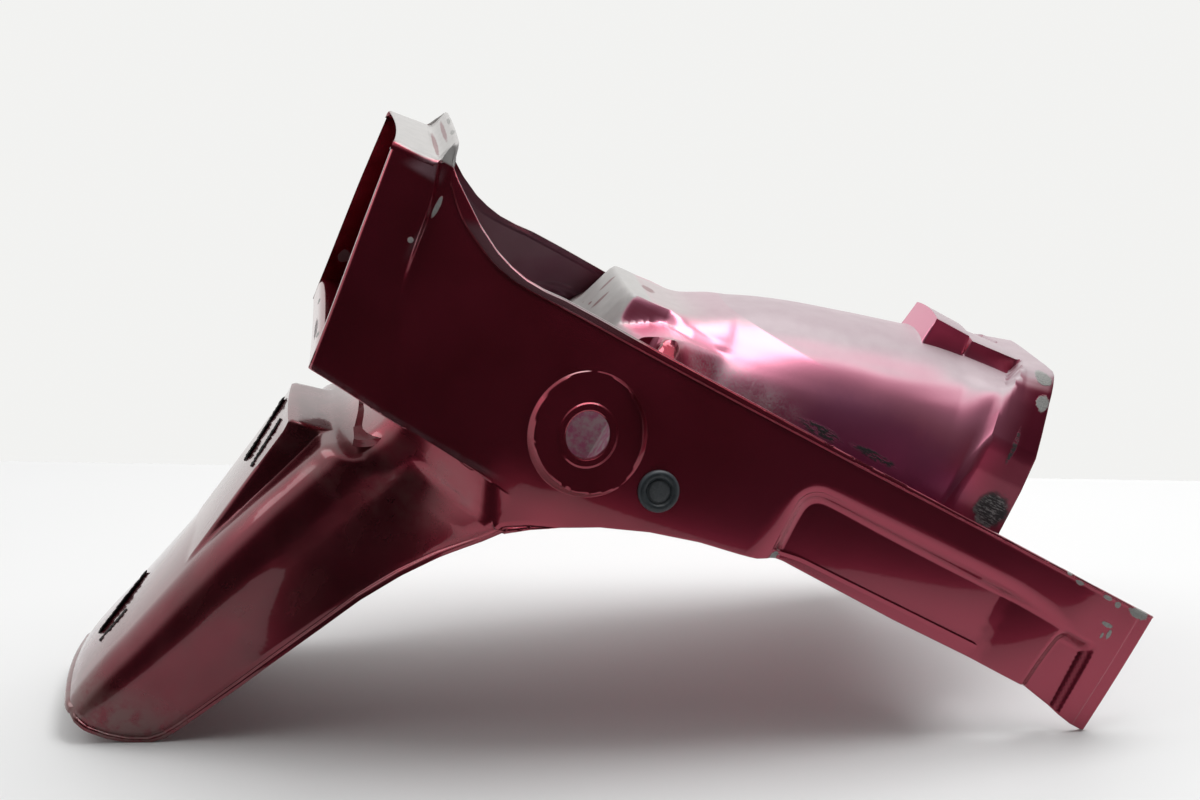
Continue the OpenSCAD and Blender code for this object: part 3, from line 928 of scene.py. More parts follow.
def half_deck(near):
    ul = np.concatenate([np.arange(-120, -56, 4.0), np.arange(-56, -14, 3.2), np.arange(-14, 14, 1.6), np.arange(14, 60, 1.7), np.arange(60, 96, 3.0),
                         np.arange(96, 214, 4.9), [214.5, 216, 217, 217.8, 218.6, 219.6, 221.5], np.arange(224, 246, 3.0),
                         [247, 248.2, 249, 249.8, 250.6, 251.6, 253], np.arange(255.5, 285, 3.0), [285.5, 287, 288.2, 289.4, 291, 293],
                         np.arange(295.5, 307, 2.4), [307.6, 308.6, 309.0]])
    nout = 12
    ys = COLS
    m = len(ys) + nout
    W = np.zeros((len(ul), m)); U = np.zeros((len(ul), m)); Y = np.zeros((len(ul), m))
    for i, u in enumerate(ul):
        # where the floor meets the panel's inner face
        yv = np.linspace(60.0, 150.5, 363)
        wv = outer_floor(u, yv, near)
        gap = side(np.full(yv.shape, u), wv, False) - 2.2 - yv
        H = float(yv[np.argmax(gap < 0)]) if (gap < 0).any() else 148.0
        H = max(H, 94.0) if u > -100 else max(H, 60)
        yo = 92 + (H - 92) * (np.arange(1, nout + 1) / nout)
        yy = np.concatenate([ys, yo])
        if u < -100 and H < 100:
            yy = np.concatenate([ys, yo]) * (H / yy[-1]) if H < 92 else yy
        row = np.zeros(m)
        uu = np.full(m, u)
        web = np.interp(u, *WEBW)
        if u < 92:
            r1 = rear_deck(uu, yy, near)
            r1 = np.where(u < 26, r1, np.maximum(r1, web)) if u >= 26 else r1
            if u >= 20:
                r1 = np.maximum(r1, web)
        else:
            r1 = None
        if u > 72:
            r2 = np.concatenate([arch_row(u, np.minimum(ys, 92)), np.full(nout, web)])
            r2 = np.maximum(r2, web)
            r2[len(ys) - 1] = web
        else:
            r2 = None
        if r1 is None:
            row = r2
        elif r2 is None:
            row = r1
        else:
            k = float(sstep(np.array((u - 72) / 18.0)))
            row = r1 * (1 - k) + r2 * k
        # blocks on the crown
        def bump(u0, u1, yh, top, foot_e=1.1):
            a = sstep(np.array((u - u0) / 1.8)) * sstep(np.array((u1 - u) / 1.6))
            b = sstep((yh - yy) / 2.4)
            return a * b * np.maximum(0, top - row)
        t1 = 144 - 2.5 * (yy / 27.0) ** 2
        row = row + bump(216.8, 249.4, 27.6, t1)
        t2 = np.interp(u, [250, 287], [140.5, 144.0]) - 1.2 * (yy / 25.0) ** 2
        row = row + bump(249.6, 300.0, 26.0, t2)
        ub = np.interp(yy, [0, 25, 75, 92], [288, 288, 271.5, 268])
        tb = np.interp(yy, BAND[0], BAND[1]) + np.interp(u, [270, 288, 309], [-4.5, -3.0, 3.6]) * np.interp(yy, [0, 45, 75], [1, 1, 0.2])
        rise = sstep((u - ub + 1.0) / 5.0)
        row = np.where(yy <= 92.001, row + rise * np.maximum(0, tb - row), row)
        # rounded front edge
        row = row - np.where(yy < 90, 1.1 * (1 - math.sqrt(max(0.0, 1 - max(0.0, (u - 307.6) / 1.4) ** 2))), 0.0)
        slant = np.interp(row, [-36, 34, 130], [12.0, 7.0, 0.0]) * max(0.0, (u - 285) / 24.0)
        W[i], U[i], Y[i] = row, uu + slant, yy
    return np.stack([U, Y, W], 2)


def deck():
    """bay floor, ramp, block and arch, both halves joined on the middle"""
    n, f = half_deck(True), half_deck(False)
    n = n[:, ::-1] * [1, -1, 1]
    return np.concatenate([n, f[:, 1:]], 1)


def slab_flip(G, t):
    b = slab(G, t)
    # outward must be +w on average
    n = grid_normals(G)
    if n[..., 2].mean() < 0:
        b = slab(G, t, flip=True)
    return b


# ------------------------------------------------------------------ lamp box
def box_top():
    prof = [(-187.6, 76.9), (-187.0, 77.8), (-185.8, 78.3), (-180, 78.7), (-172, 79.4), (-165, 80.0), (-159.5, 80.4), (-157, 80.8), (-155.4, 82.2), (-154.4, 85), (-153.2, 89.5),
            (-152.0, 94), (-151.2, 95.8), (-150.2, 96.4), (-149.2, 95.9), (-148.2, 93), (-147.2, 88), (-146.3, 80), (-145.3, 72)]
    prof = np.array(prof)
    rows = []
    arc = np.linspace(0, math.pi / 2, 8)
    for k, (u, w) in enumerate(prof):
        if u <= -158:
            wb = 72 + (u + 186.8) / 28.8 * 4.0
        else:
            wb = np.interp(u, [-158, -155.6, -153.6, -152, -149.6, -148, -145], [76, 80.5, 88, 92.5, 89, 83, 74])
            wb = min(wb, w - 1.0)
        H = float(side(np.array([max(u, -186.2)]), np.array([wb]))[0])
        R = max(0.8, min(6.4, w - wb))
        flat = np.linspace(0, H - R, 22)
        crown = 1.2 * (1 - (flat / (H - R)) ** 2) if u < -158 else 0.9 * (1 - (flat / (H - R)) ** 2)
        uo = 3.2 * (1 - (flat / H) ** 2) if u < -180 else 0 * flat
        half = [[u + uo[j], flat[j], w + crown[j]] for j in range(len(flat))]
        half += [[u, H - R + R * math.sin(a), w - (w - wb) * (1 - math.cos(a))] for a in arc[1:]]
        left = [[p[0], -p[1], p[2]] for p in half[::-1]]
        rows.append(left + half[1:])
    return slab_flip(np.array(rows), 2.6)


def plate(profile, back, t=2.8, n=41, step=3.0, it=2, trim=None):
    """a bent plate across the shell; its ends reach into the side walls"""
    P = resample(rounded(profile, it=it) if it else profile, step)
    G = np.zeros((len(P), n, 3))
    for i, (u, w) in enumerate(P):
        h = float(side(np.array([u]), np.array([w]), False)[0]) - back
        if trim:
            h = min(h, trim)
        y = np.linspace(-h, h, n)
        G[i, :, 0] = u; G[i, :, 1] = y; G[i, :, 2] = w
    return G


def centred(G, t):
    """plate with its thickness shared on both sides of the grid"""
    N = grid_normals(G)
    return slab(G + N * t / 2, t)


# ------------------------------------------------------------------ plugs
def revolve(profile, n, origin, lean_deg, side_sign=-1):
    """profile (r, z) turned about an axis that points out of the side panel"""
    prof = np.array(profile, float)
    a = math.radians(lean_deg)
    out = np.array([0.0, math.cos(a) * side_sign, math.sin(a)])
    ex = np.array([1.0, 0, 0])
    ey = np.cross(out, ex)
    V, F = [], []
    m = len(prof)
    th = np.arange(n) * 2 * np.pi / n
    for t in th:
        for r, z in prof:
            V.append(np.array(origin) + ex * r * math.cos(t) + ey * r * math.sin(t) + out * z)
    for i in range(n):
        j = (i + 1) % n
        for k in range(m - 1):
            F.append((i * m + k, j * m + k, j * m + k + 1, i * m + k + 1))
    b = Build()
    b.add(np.array(V), F)
    return b


# ------------------------------------------------------------------ node helpers
def material(name):
    m = bpy.data.materials.new(name)
    m.use_nodes = True
    nt = m.node_tree
    nt.nodes.clear()
    out = nt.nodes.new("ShaderNodeOutputMaterial")
    b = nt.nodes.new("ShaderNodeBsdfPrincipled")
    nt.links.new(b.outputs[0], out.inputs[0])
    return m, nt, b


class Net:
    def __init__(self, nt):
        self.nt = nt
        self.coord = nt.nodes.new("ShaderNodeTexCoord").outputs["Object"]
        mp = nt.nodes.new("ShaderNodeMapping")
        mp.vector_type = "POINT"
        mp.inputs["Location"].default_value = (0.0103 * CT + 0.2562 * ST, 0, 0.0103 * ST - 0.2562 * CT)
        mp.inputs["Rotation"].default_value = (0, -TILT, 0)
        nt.links.new(self.coord, mp.inputs["Vector"])
        sc = nt.nodes.new("ShaderNodeVectorMath"); sc.operation = "SCALE"
        nt.links.new(mp.outputs[0], sc.inputs[0]); sc.inputs["Scale"].default_value = 1000.0
        self.p = sc.outputs[0]
        sp = nt.nodes.new("ShaderNodeSeparateXYZ")
        nt.links.new(self.p, sp.inputs[0])
        self.u, self.y, self.w = sp.outputs

    def put(self, sock, v):
        if hasattr(v, "is_output"):
            self.nt.links.new(v, sock)
        else:
            sock.default_value = v

    def m(self, op, a, b=None, c=None, clamp=False):
        n = self.nt.nodes.new("ShaderNodeMath"); n.operation = op; n.use_clamp = clamp
        self.put(n.inputs[0], a)
        if b is not None: self.put(n.inputs[1], b)
        if c is not None: self.put(n.inputs[2], c)
        return n.outputs[0]

    def add(self, a, b): return self.m("ADD", a, b)
    def sub(self, a, b): return self.m("SUBTRACT", a, b)
    def mul(self, a, b): return self.m("MULTIPLY", a, b)
    def mx(self, a, b): return self.m("MAXIMUM", a, b)
    def mn(self, a, b): return self.m("MINIMUM", a, b)

    def ramp(self, v, a, b, lo=0.0, hi=1.0):
        """smooth step from lo at a to hi at b"""
        n = self.nt.nodes.new("ShaderNodeMapRange"); n.interpolation_type = "SMOOTHSTEP"
        self.put(n.inputs["Value"], v)
        if a > b:
            a, b, lo, hi = b, a, hi, lo
        n.inputs["From Min"].default_value = a; n.inputs["From Max"].default_value = b
        n.inputs["To Min"].default_value = lo; n.inputs["To Max"].default_value = hi
        return n.outputs["Result"]

    def window(self, v, a, b, soft):
        return self.mul(self.ramp(v, a - soft, a + soft), self.ramp(v, b + soft, b - soft))

    def noise(self, scale, detail=4.0, rough=0.55, vec=None, dist=0.0, stretch=None, seed=0.0):
        """noise in millimetres: scale is the size of its cells"""
        v = self.p if vec is None else vec
        if stretch or seed:
            mp = self.nt.nodes.new("ShaderNodeMapping")
            self.nt.links.new(v, mp.inputs[0])
            mp.inputs["Scale"].default_value = stretch or (1, 1, 1)
            mp.inputs["Location"].default_value = (seed * 31.0, seed * 17.0, seed * 7.0)
            v = mp.outputs[0]
        n = self.nt.nodes.new("ShaderNodeTexNoise")
        self.nt.links.new(v, n.inputs["Vector"])
        n.inputs["Scale"].default_value = 1.0 / scale
        n.inputs["Detail"].default_value = detail
        n.inputs["Roughness"].default_value = rough
        n.inputs["Distortion"].default_value = dist
        return n.outputs["Fac"]

    def ball(self, c, r, soft, jag=0.0, cell=6.0, stretch=None):
        """1 inside a rough-edged ellipsoid round c, in millimetres"""
        d = self.nt.nodes.new("ShaderNodeVectorMath"); d.operation = "SUBTRACT"
        self.nt.links.new(self.p, d.inputs[0]); d.inputs[1].default_value = c
        k = self.nt.nodes.new("ShaderNodeVectorMath"); k.operation = "DIVIDE"
        self.nt.links.new(d.outputs[0], k.inputs[0]); k.inputs[1].default_value = r
        ln = self.nt.nodes.new("ShaderNodeVectorMath"); ln.operation = "LENGTH"
        self.nt.links.new(k.outputs[0], ln.inputs[0])
        v = ln.outputs["Value"]
        if jag:
            v = self.add(v, self.mul(self.sub(self.noise(cell, 5, 0.65, stretch=stretch), 0.5), jag))
        return self.ramp(v, 1.0 + soft, 1.0 - soft)

    def mix(self, f, a, b):
        n = self.nt.nodes.new("ShaderNodeMix"); n.data_type = "RGBA"
        self.put(n.inputs[0], f)
        ca, cb = [i for i in n.inputs if i.type == "RGBA"]
        self.put(ca, a if hasattr(a, "is_output") else (*a, 1)); self.put(cb, b if hasattr(b, "is_output") else (*b, 1))
        return [o for o in n.outputs if o.type == "RGBA"][0]

    def lerp(self, f, a, b):
        n = self.nt.nodes.new("ShaderNodeMix"); n.data_type = "FLOAT"
        self.put(n.inputs[0], f); self.put(n.inputs[2], a); self.put(n.inputs[3], b)
        return n.outputs[0]

    def bump(self, h, strength, dist, normal=None):
        n = self.nt.nodes.new("ShaderNodeBump")
        n.inputs["Strength"].default_value = strength
        n.inputs["Distance"].default_value = dist
        self.nt.links.new(h, n.inputs["Height"])
        if normal is not None:
            self.nt.links.new(normal, n.inputs["Normal"])
        return n.outputs[0]


# ------------------------------------------------------------------ painted shell
def paint_material():
    m, nt, b = material("candy_paint")
    N = Net(nt)
    geo = nt.nodes.new("ShaderNodeNewGeometry")
    nsep = nt.nodes.new("ShaderNodeSeparateXYZ")
    nt.links.new(geo.outputs["Normal"], nsep.inputs[0])
    nz = nsep.outputs["Z"]
    ay = N.m("ABSOLUTE", N.y)
    panel_c = (0.235, 0.013, 0.031)
    hump_c = (0.60, 0.055, 0.24)
    inside = N.mul(N.ramp(ay, 104, 88), N.mul(N.ramp(N.u, -16, 8), N.ramp(N.w, -60, -30)))
    # the inner faces of the side panels got only a thin coat over grey
    inward = N.ramp(N.mul(nsep.outputs["Y"], N.m("SIGN", N.y)), -0.30, -0.55)
    inward = N.mul(inward, N.mul(N.ramp(ay, 84, 96), N.ramp(N.u, -160, -140)))
    cloud = N.noise(42, 3, 0.5)
    col = N.mix(N.ramp(cloud, 0.35, 0.7), panel_c, (0.285, 0.018, 0.042))
    col = N.mix(N.ramp(N.add(N.u, N.mul(N.w, -0.6)), 70, 150), col, (0.29, 0.021, 0.050))
    col = N.mix(N.mul(N.ramp(N.w, -104, -116), N.ramp(N.u, -40, -70)), col, N.mix(N.ramp(cloud, 0.35, 0.7), (0.135, 0.008, 0.018), (0.170, 0.012, 0.026)))
    hump = N.mix(N.ramp(cloud, 0.35, 0.68), (0.66, 0.055, 0.14), (0.55, 0.042, 0.11))
    # up-facing parts of the arch are painted lighter pink: partly the silver under the thin candy, partly a painted
    # highlight of the overhead light
    hump = N.mix(N.mul(N.ramp(nz, 0.10, 0.55), 0.9), hump, (0.76, 0.27, 0.40))
    # purple bloom low on the side of the arch
    hump = N.mix(N.mul(N.ball((205, -92, 35), (70, 40, 42), 0.35, 0.5, 30.0), 0.45), hump, (0.26, 0.05, 0.20))
    # the front of the arch turns from magenta to maroon: painted shade, standing in for the dark room that this face
    # reflects
    hump = N.mix(N.ramp(N.u, 262, 300), hump, (0.24, 0.014, 0.045))
    col = N.mix(inside, col, hump)
    col = N.mix(N.mul(inward, 0.92), col, N.mix(N.ramp(N.noise(60, 3, 0.5, seed=11.0), 0.3, 0.7), (0.25, 0.125, 0.175), (0.33, 0.185, 0.24)))
    # mottled overspray in the channel behind the side hole
    mott = N.mul(N.window(ay, 62, 138, 3), N.mul(N.window(N.u, -44, 44, 8), N.ramp(N.w, 4, -4)))
    outward = N.mul(N.ramp(N.mul(nsep.outputs["Y"], N.m("SIGN", N.y)), 0.25, 0.5), N.ramp(ay, 98, 103))
    mott = N.mul(N.mul(mott, N.ramp(N.w, -71, -66)), N.sub(1.0, outward))
    mcol = N.mix(N.ramp(N.noise(7, 5, 0.65, seed=12.0), 0.36, 0.62), (0.78, 0.32, 0.52), (0.84, 0.80, 0.80))
    col = N.mix(mott, col, mcol)
    # silver primer: dusted on the top of the arch, the ramp and the top of the lamp box
    nf = N.noise(26, 5, 0.6)
    jit = N.mul(N.sub(nf, 0.5), 30.0)
    topw = N.ramp(N.add(N.sub(70.0, ay), jit), 8, 34)
    crown = N.mul(N.mul(N.ramp(nz, 0.72, 0.93), topw), N.mul(N.ramp(N.u, -60, -30), N.ramp(N.add(N.u, jit), 250, 205)))
    crown = N.mul(crown, N.ramp(N.w, -20, 10))
    ramp = N.mul(N.mul(N.ramp(N.u, -76, -50), N.ramp(N.u, 34, 24)), N.mul(N.ramp(ay, 136, 120), N.ramp(nz, 0.45, 0.7)))
    ramp = N.mul(ramp, N.ramp(N.w, -60, -30))
    ramp = N.mul(ramp, N.ramp(N.sub(N.u, N.mul(N.ramp(ay, 46, 60), -18.0)), 40, 20))
    btop = N.mul(N.ramp(N.w, 76.5, 78.2), N.ramp(nz, 0.55, 0.85))
    btop = N.mx(btop, N.mul(N.ramp(N.w, 80.2, 82.0), N.window(N.u, -160, -140, 1.0)))
    btop = N.mul(btop, N.ramp(N.sub(ay, N.mul(N.ramp(N.w, 82, 96), -4.0)), 82.5, 79.5))
    silver = N.mx(N.mx(N.mul(crown, 0.9), ramp), btop)
    # grey overspray in the trough beside the arch
    spray = N.mul(N.mul(N.window(N.u, 50, 140, 16), N.window(ay, 66, 92, 6)), N.ramp(N.w, 56, 42))
    speck = N.noise(1.6, 2, 0.7)
    spray = N.mul(spray, N.ramp(N.add(N.mul(nf, 0.6), N.mul(speck, 0.4)), 0.36, 0.62))
    silver_all = N.mx(silver, N.mul(spray, 0.75))
    grey = N.mix(N.noise(9, 4, 0.6), (0.40, 0.39, 0.385), (0.52, 0.50, 0.49))
    rosy = N.mul(N.mul(N.ramp(N.u, 40, 75), N.ramp(N.w, 30, 50)), N.ramp(ay, 100, 92))
    grey = N.mix(rosy, grey, N.mix(N.noise(14, 3, 0.5, seed=13.0), (0.41, 0.31, 0.345), (0.51, 0.42, 0.45)))
    col = N.mix(silver_all, col, grey)
    # painted highlight: a pinkish light band under the near top edge of the lamp box, on faces turned half upwards
    painted_rim_highlight = N.mul(N.mul(N.window(nz, 0.30, 0.66, 0.12), N.ramp(N.w, 66, 71)), N.mul(N.window(N.u, -188, -150, 3), N.ramp(ay, 78, 84)))
    col = N.mix(N.mul(painted_rim_highlight, 0.8), col, (0.72, 0.42, 0.50))
    # painted highlight: a light grey-pink strip along the lip at the top of the side panels, on its outward faces
    lip_w = N.mx(N.mx(N.add(N.mul(N.u, -3.04), -365.8), N.add(N.mul(N.u, -0.89), -57.3)), N.mx(N.add(N.mul(N.u, -0.48), -6.0), N.mx(N.add(N.mul(N.u, -0.206), 20.8), 37.3)))
    lip_highlight_mask = N.mul(N.ramp(N.sub(N.w, lip_w), 0.2, 1.2), N.mul(N.window(N.u, -147, 6, 8), N.ramp(ay, 94, 98)))
    lip_highlight_mask = N.mul(lip_highlight_mask, N.ramp(N.mul(nsep.outputs["Y"], N.m("SIGN", N.y)), 0.5, 0.7))
    col = N.mix(N.mul(lip_highlight_mask, N.ramp(N.u, 20, -60, 0.25, 0.75)), col, (0.36, 0.19, 0.225))
    # painted highlight: faint light bands along the groove and the lower edge of the lamp box, broken up by noise
    groove_highlight = N.mul(N.window(N.add(N.u, N.mul(N.w, -0.07)), -151.5, -147.5, 1.2), N.mul(N.window(N.w, 22, 70, 10), N.ramp(ay, 92, 95)))
    low_edge_highlight = N.mul(N.window(N.w, -77.0, -73.2, 1.0), N.mul(N.window(N.u, -172, -40, 14), N.ramp(ay, 92, 95)))
    col = N.mix(N.mul(N.mul(N.mx(groove_highlight, low_edge_highlight), N.ramp(N.noise(9, 4, 0.6, seed=14.0), 0.25, 0.6)), 0.5), col, (0.42, 0.23, 0.26))
    # dirt film on the mudflap
    flap = N.mul(N.ramp(N.w, -104, -120), N.ramp(N.noise(30, 5, 0.6, stretch=(1, 1, 0.5)), 0.40, 0.72))
    edge = N.mul(N.ramp(N.w, -330, -372), N.ramp(N.noise(12, 4, 0.6, seed=2.0), 0.3, 0.6))
    dirt = N.mx(N.mul(flap, 0.11), N.mul(edge, 0.45))
    shoulder = N.mul(N.window(N.w, -150, -92, 8), N.mul(N.ramp(N.u, -20, -90), N.ramp(N.noise(20, 5, 0.6, seed=3.0), 0.35, 0.7)))
    dirt = N.mx(dirt, N.mul(shoulder, 0.26))
    col = N.mix(dirt, col, (0.16, 0.115, 0.10))
    # scrapes and chips down to grey primer
    chips = None
    spots = CHIPS
    for c, r, jag, cell in spots:
        k = N.ball(c, r, 0.12, jag, cell)
        chips = k if chips is None else N.mx(chips, k)
    fine = N.noise(1.1, 3, 0.7, seed=5.0)
    chips = N.mul(chips, N.ramp(fine, 0.20, 0.38))
    chipcol = N.mix(N.noise(0.9, 4, 0.75, seed=6.0), (0.10, 0.10, 0.10), (0.52, 0.52, 0.50))
    col = N.mix(chips, col, chipcol)
    dark = None
    for c, r, jag, cell in SCUFFS:
        k = N.ball(c, r, 0.25, jag, cell)
        dark = k if dark is None else N.mx(dark, k)
    streak = N.noise(1.3, 4, 0.7, stretch=(0.22, 1, 1), seed=7.0)
    dark = N.mul(dark, N.ramp(streak, 0.38, 0.52))
    col = N.mix(dark, col, (0.035, 0.03, 0.033))
    stroke = None
    for c, r, jag, cell in STROKES:
        k = N.ball(c, r, 0.22, jag, cell)
        stroke = k if stroke is None else N.mx(stroke, k)
    col = N.mix(N.mul(stroke, 0.75), col, (0.19, 0.055, 0.065))
    worn = N.mx(chips, dark)
    nt.links.new(col, b.inputs["Base Color"])
    matt = N.mx(N.mx(worn, N.mul(mott, 0.95)), N.mx(N.mx(N.mul(silver_all, 0.85), N.mul(dirt, 0.9)), N.mul(inward, 0.85)))
    nt.links.new(N.lerp(matt, 0.80, 0.05), b.inputs["Metallic"])
    rough = N.lerp(N.noise(70, 3, 0.5, seed=8.0), 0.22, 0.29)
    rough = N.lerp(inside, rough, 0.36)
    nt.links.new(N.lerp(matt, rough, 0.58), b.inputs["Roughness"])
    nt.links.new(N.lerp(N.mx(worn, N.mul(silver, 0.75)), 1.0, 0.0), b.inputs["Coat Weight"])
    hair = N.ramp(N.noise(5.0, 6, 0.75, stretch=(0.1, 1, 1), seed=9.0), 0.70, 0.76)
    nt.links.new(N.lerp(N.mx(N.mx(dirt, N.mul(hair, 0.5)), N.mul(inside, 0.85)), 0.045, 0.28), b.inputs["Coat Roughness"])
    b.inputs["Coat IOR"].default_value = 1.44
    peel = N.noise(3.2, 2, 0.5)
    du, dw = N.sub(N.u, float(HOLE_C[0])), N.sub(N.w, float(HOLE_C[1]))
    rr = N.m("SQRT", N.add(N.mul(du, du), N.mul(dw, dw)))
    crest = N.mul(N.mul(N.window(rr, 34.5, 40.5, 2.4), inward), N.ramp(ay, 98, 104))
    n0 = N.bump(crest, 1.0, 0.0022)
    n1 = N.bump(peel, 0.10, 0.00012, n0)
    n2 = N.bump(N.mul(worn, N.noise(1.2, 4, 0.7)), 0.6, 0.0006, n1)
    nt.links.new(n2, b.inputs["Normal"])
    nt.links.new(n1, b.inputs["Coat Normal"])
    return m


# position (u, y, w), radii and roughness of the edge, in millimetres
CHIPS = [
    ((-164.4, 100.9, -38.4), (5.5, 4.0, 5.0), 0.7, 5.0),
    ((-144.5, -89.8, 55.0), (1.7, 5.0, 8.5), 0.5, 4.0),
    ((-150.8, -99.2, 28.7), (1.9, 4.0, 1.9), 0.3, 2.0),
    ((-170.6, -60.0, -64.0), (3.0, 6.0, 2.0), 1.1, 3.0),
    ((-170.6, 40.0, -65.0), (3.0, 6.0, 2.0), 1.1, 3.0),
    ((300.5, -52.0, 142.0), (6.5, 16.0, 4.0), 0.7, 4.0),
    ((303.5, -68.0, 128.0), (5.0, 6.0, 7.0), 0.9, 3.0),
    ((159.0, -141.6, -43.0), (3.4, 5.0, 6.0), 1.2, 3.0),
    ((364.9, -137.2, 36.5), (3.2, 4.0, 1.6), 0.9, 2.5),
    ((354.9, -137.0, 38.8), (2.2, 4.0, 1.2), 0.7, 2.5),
    ((388.6, -138.6, 36.3), (3.6, 4.0, 1.7), 0.9, 2.5),
    ((397.8, -139.1, 35.2), (2.4, 4.0, 2.2), 0.9, 2.5),
    ((414.8, -139.7, 36.6), (7.0, 5.0, 3.6), 1.1, 3.0),
    ((398.0, -141.4, 19.5), (4.6, 5.0, 1.5), 1.3, 2.4),
    ((402.8, -141.4, 14.0), (1.5, 5.0, 3.6), 1.2, 2.0),
    ((398.5, -141.4, 11.0), (1.0, 5.0, 2.2), 1.0, 2.0),
    ((-152.0, -30.0, 95.6), (3.0, 9.0, 1.5), 1.3, 3.0),
    ((-152.0, 22.0, 95.8), (3.0, 14.0, 1.2), 1.3, 3.0),
    ((-149.5, -86.0, 78.0), (2.5, 3.0, 7.0), 1.2, 2.5),
    ((-128.5, -100.0, 60.0), (2.0, 6.0, 2.4), 1.0, 2.5),
    ((300.9, -91.5, 45.0), (11.0, 5.0, 12.0), 0.8, 7.0),
]
SCUFFS = [
    ((163.2, -84.9, 38.9), (17.0, 7.0, 4.2), 1.0, 7.0),
    ((206.6, -86.2, 41.0), (19.0, 7.0, 2.8), 1.0, 6.0),
    ((293.0, -87.1, 94.0), (1.8, 9.0, 15.0), 1.0, 5.0),
    ((302.0, -91.0, 46.0), (12.0, 6.0, 13.0), 0.7, 8.0),
    ((-171.0, -30.0, -68.0), (2.5, 26.0, 3.2), 1.2, 5.0),
]
# brown strokes and dots left in the silver
STROKES = [
    ((-3.5, -14.0, 39.5), (6.0, 2.6, 9.0), 0.7, 5.0),
    ((2.0, 5.0, 48.0), (5.0, 3.0, 8.0), 0.8, 5.0),
    ((-5.0, -2.5, 31.7), (1.5, 2.0, 1.8), 0.3, 2.0),
    ((-7.0, 14.0, 28.0), (1.2, 1.8, 1.5), 0.3, 2.0),
    ((27.6, 0.0, 59.5), (5.0, 9.5, 3.0), 0.9, 3.0),
    ((-157.2, -20.0, 82.0), (1.6, 50.0, 1.6), 0.7, 6.0),
    ((-153.0, 5.0, 89.5), (1.4, 44.0, 1.8), 0.9, 5.0),
    ((-140.0, 4.0, -120.5), (3.0, 7.0, 2.0), 0.6, 4.0),
]


def rubber_material():
    m, nt, b = material("plug_rubber")
    N = Net(nt)
    d = N.noise(6, 4, 0.6)
    col = N.mix(N.ramp(d, 0.35, 0.7), (0.018, 0.024, 0.029), (0.040, 0.047, 0.053))
    du = N.sub(N.u, PLUG_C[0]); dw = N.sub(N.w, PLUG_C[1])
    r = N.m("SQRT", N.add(N.mul(du, du), N.mul(dw, dw)))
    disc_c = N.ramp(r, 8.0, 6.8)
    dust = N.ramp(N.noise(1.5, 4, 0.7, seed=2.0), 0.35, 0.75)
    col = N.mix(N.mul(disc_c, N.add(0.45, N.mul(dust, 0.4))), col, (0.085, 0.09, 0.097))
    rim = N.mul(N.window(r, 12.6, 14.2, 0.5), 0.35)
    col = N.mix(rim, col, (0.10, 0.115, 0.13))
    nt.links.new(col, b.inputs["Base Color"])
    b.inputs["Roughness"].default_value = 0.46
    b.inputs["Specular IOR Level"].default_value = 0.45
    nt.links.new(N.bump(N.noise(0.7, 3, 0.6), 0.25, 0.0002), b.inputs["Normal"])
    return m


def foam_material():
    m, nt, b = material("torn_foam")
    N = Net(nt)
    n = N.noise(1.4, 5, 0.75)
    col = N.mix(N.ramp(n, 0.3, 0.75), (0.006, 0.006, 0.007), (0.075, 0.072, 0.07))
    nt.links.new(col, b.inputs["Base Color"])
    b.inputs["Roughness"].default_value = 0.92
    nt.links.new(N.bump(n, 0.9, 0.0008), b.inputs["Normal"])
    return m


PAINT, RUBBER, FOAM = paint_material(), rubber_material(), foam_material()


def finish_build(b, name, mat, sharp=38.0, recalc=False, arm=True):
    V, Nn, F = b.weld()
    P = place(V) if arm else V / 1000.0
    use = np.abs(Nn).sum(1) > 0.1
    Nw = np.where(use[:, None], turn(Nn), 0.0)
    ob = make_object(name, P, F, [mat], None, Nw if use.any() else None, sharp)
    if recalc:
        import bmesh
        bm = bmesh.new(); bm.from_mesh(ob.data)
        bmesh.ops.recalc_face_normals(bm, faces=bm.faces)
        bm.to_mesh(ob.data); bm.free()
        ob.data.set_sharp_from_angle(angle=math.radians(sharp))
    return ob


def join(parts):
    b = Build()
    for q in parts:
        o = b.n
        for V, Nn in zip(q.V, q.N):
            b.V.append(V); b.N.append(Nn)
        b.F += [tuple(o + i for i in f) for f in q.F]
        b.n += q.n
    return b


near, seam_o, seam_i = side_sheet()
seam_all = crown_loft(seam_o, seam_i)
far = near.mirrored()
front_wall = centred(plate([(-146.8, 76), (-141, 20), (-137, -30), (-131, -77)], 1.5, it=0), 2.8)
apron_g = plate([(-135.5, -60.4), (-150, -60.4), (-163, -60.6), (-168.5, -61.0), (-170.6, -63.0), (-170.2, -69), (-169.2, -76.4)], 1.5, it=1, step=1.3)
hh = np.abs(apron_g[:, :, 1]) / np.abs(apron_g[:, :, 1]).max(axis=1)[:, None]
apron_g[:, :, 0] += 0.8 * (1 - hh ** 2) * sstep((-150 - apron_g[:, :, 0]) / 14.0)
apron = centred(apron_g, 2.4)
bottom = centred(plate([(-134, -74), (-131.5, -76.1), (-118, -76.1), (-99, -76.1)], 1.5, it=0), 2.6)
floor_g = deck()
floor_b = slab_flip(floor_g, 2.6)
top_b = box_top()
shell = finish_build(join([near, far, seam_all, top_b, front_wall, apron, bottom, floor_b]), "fender_shell_skin", PAINT)

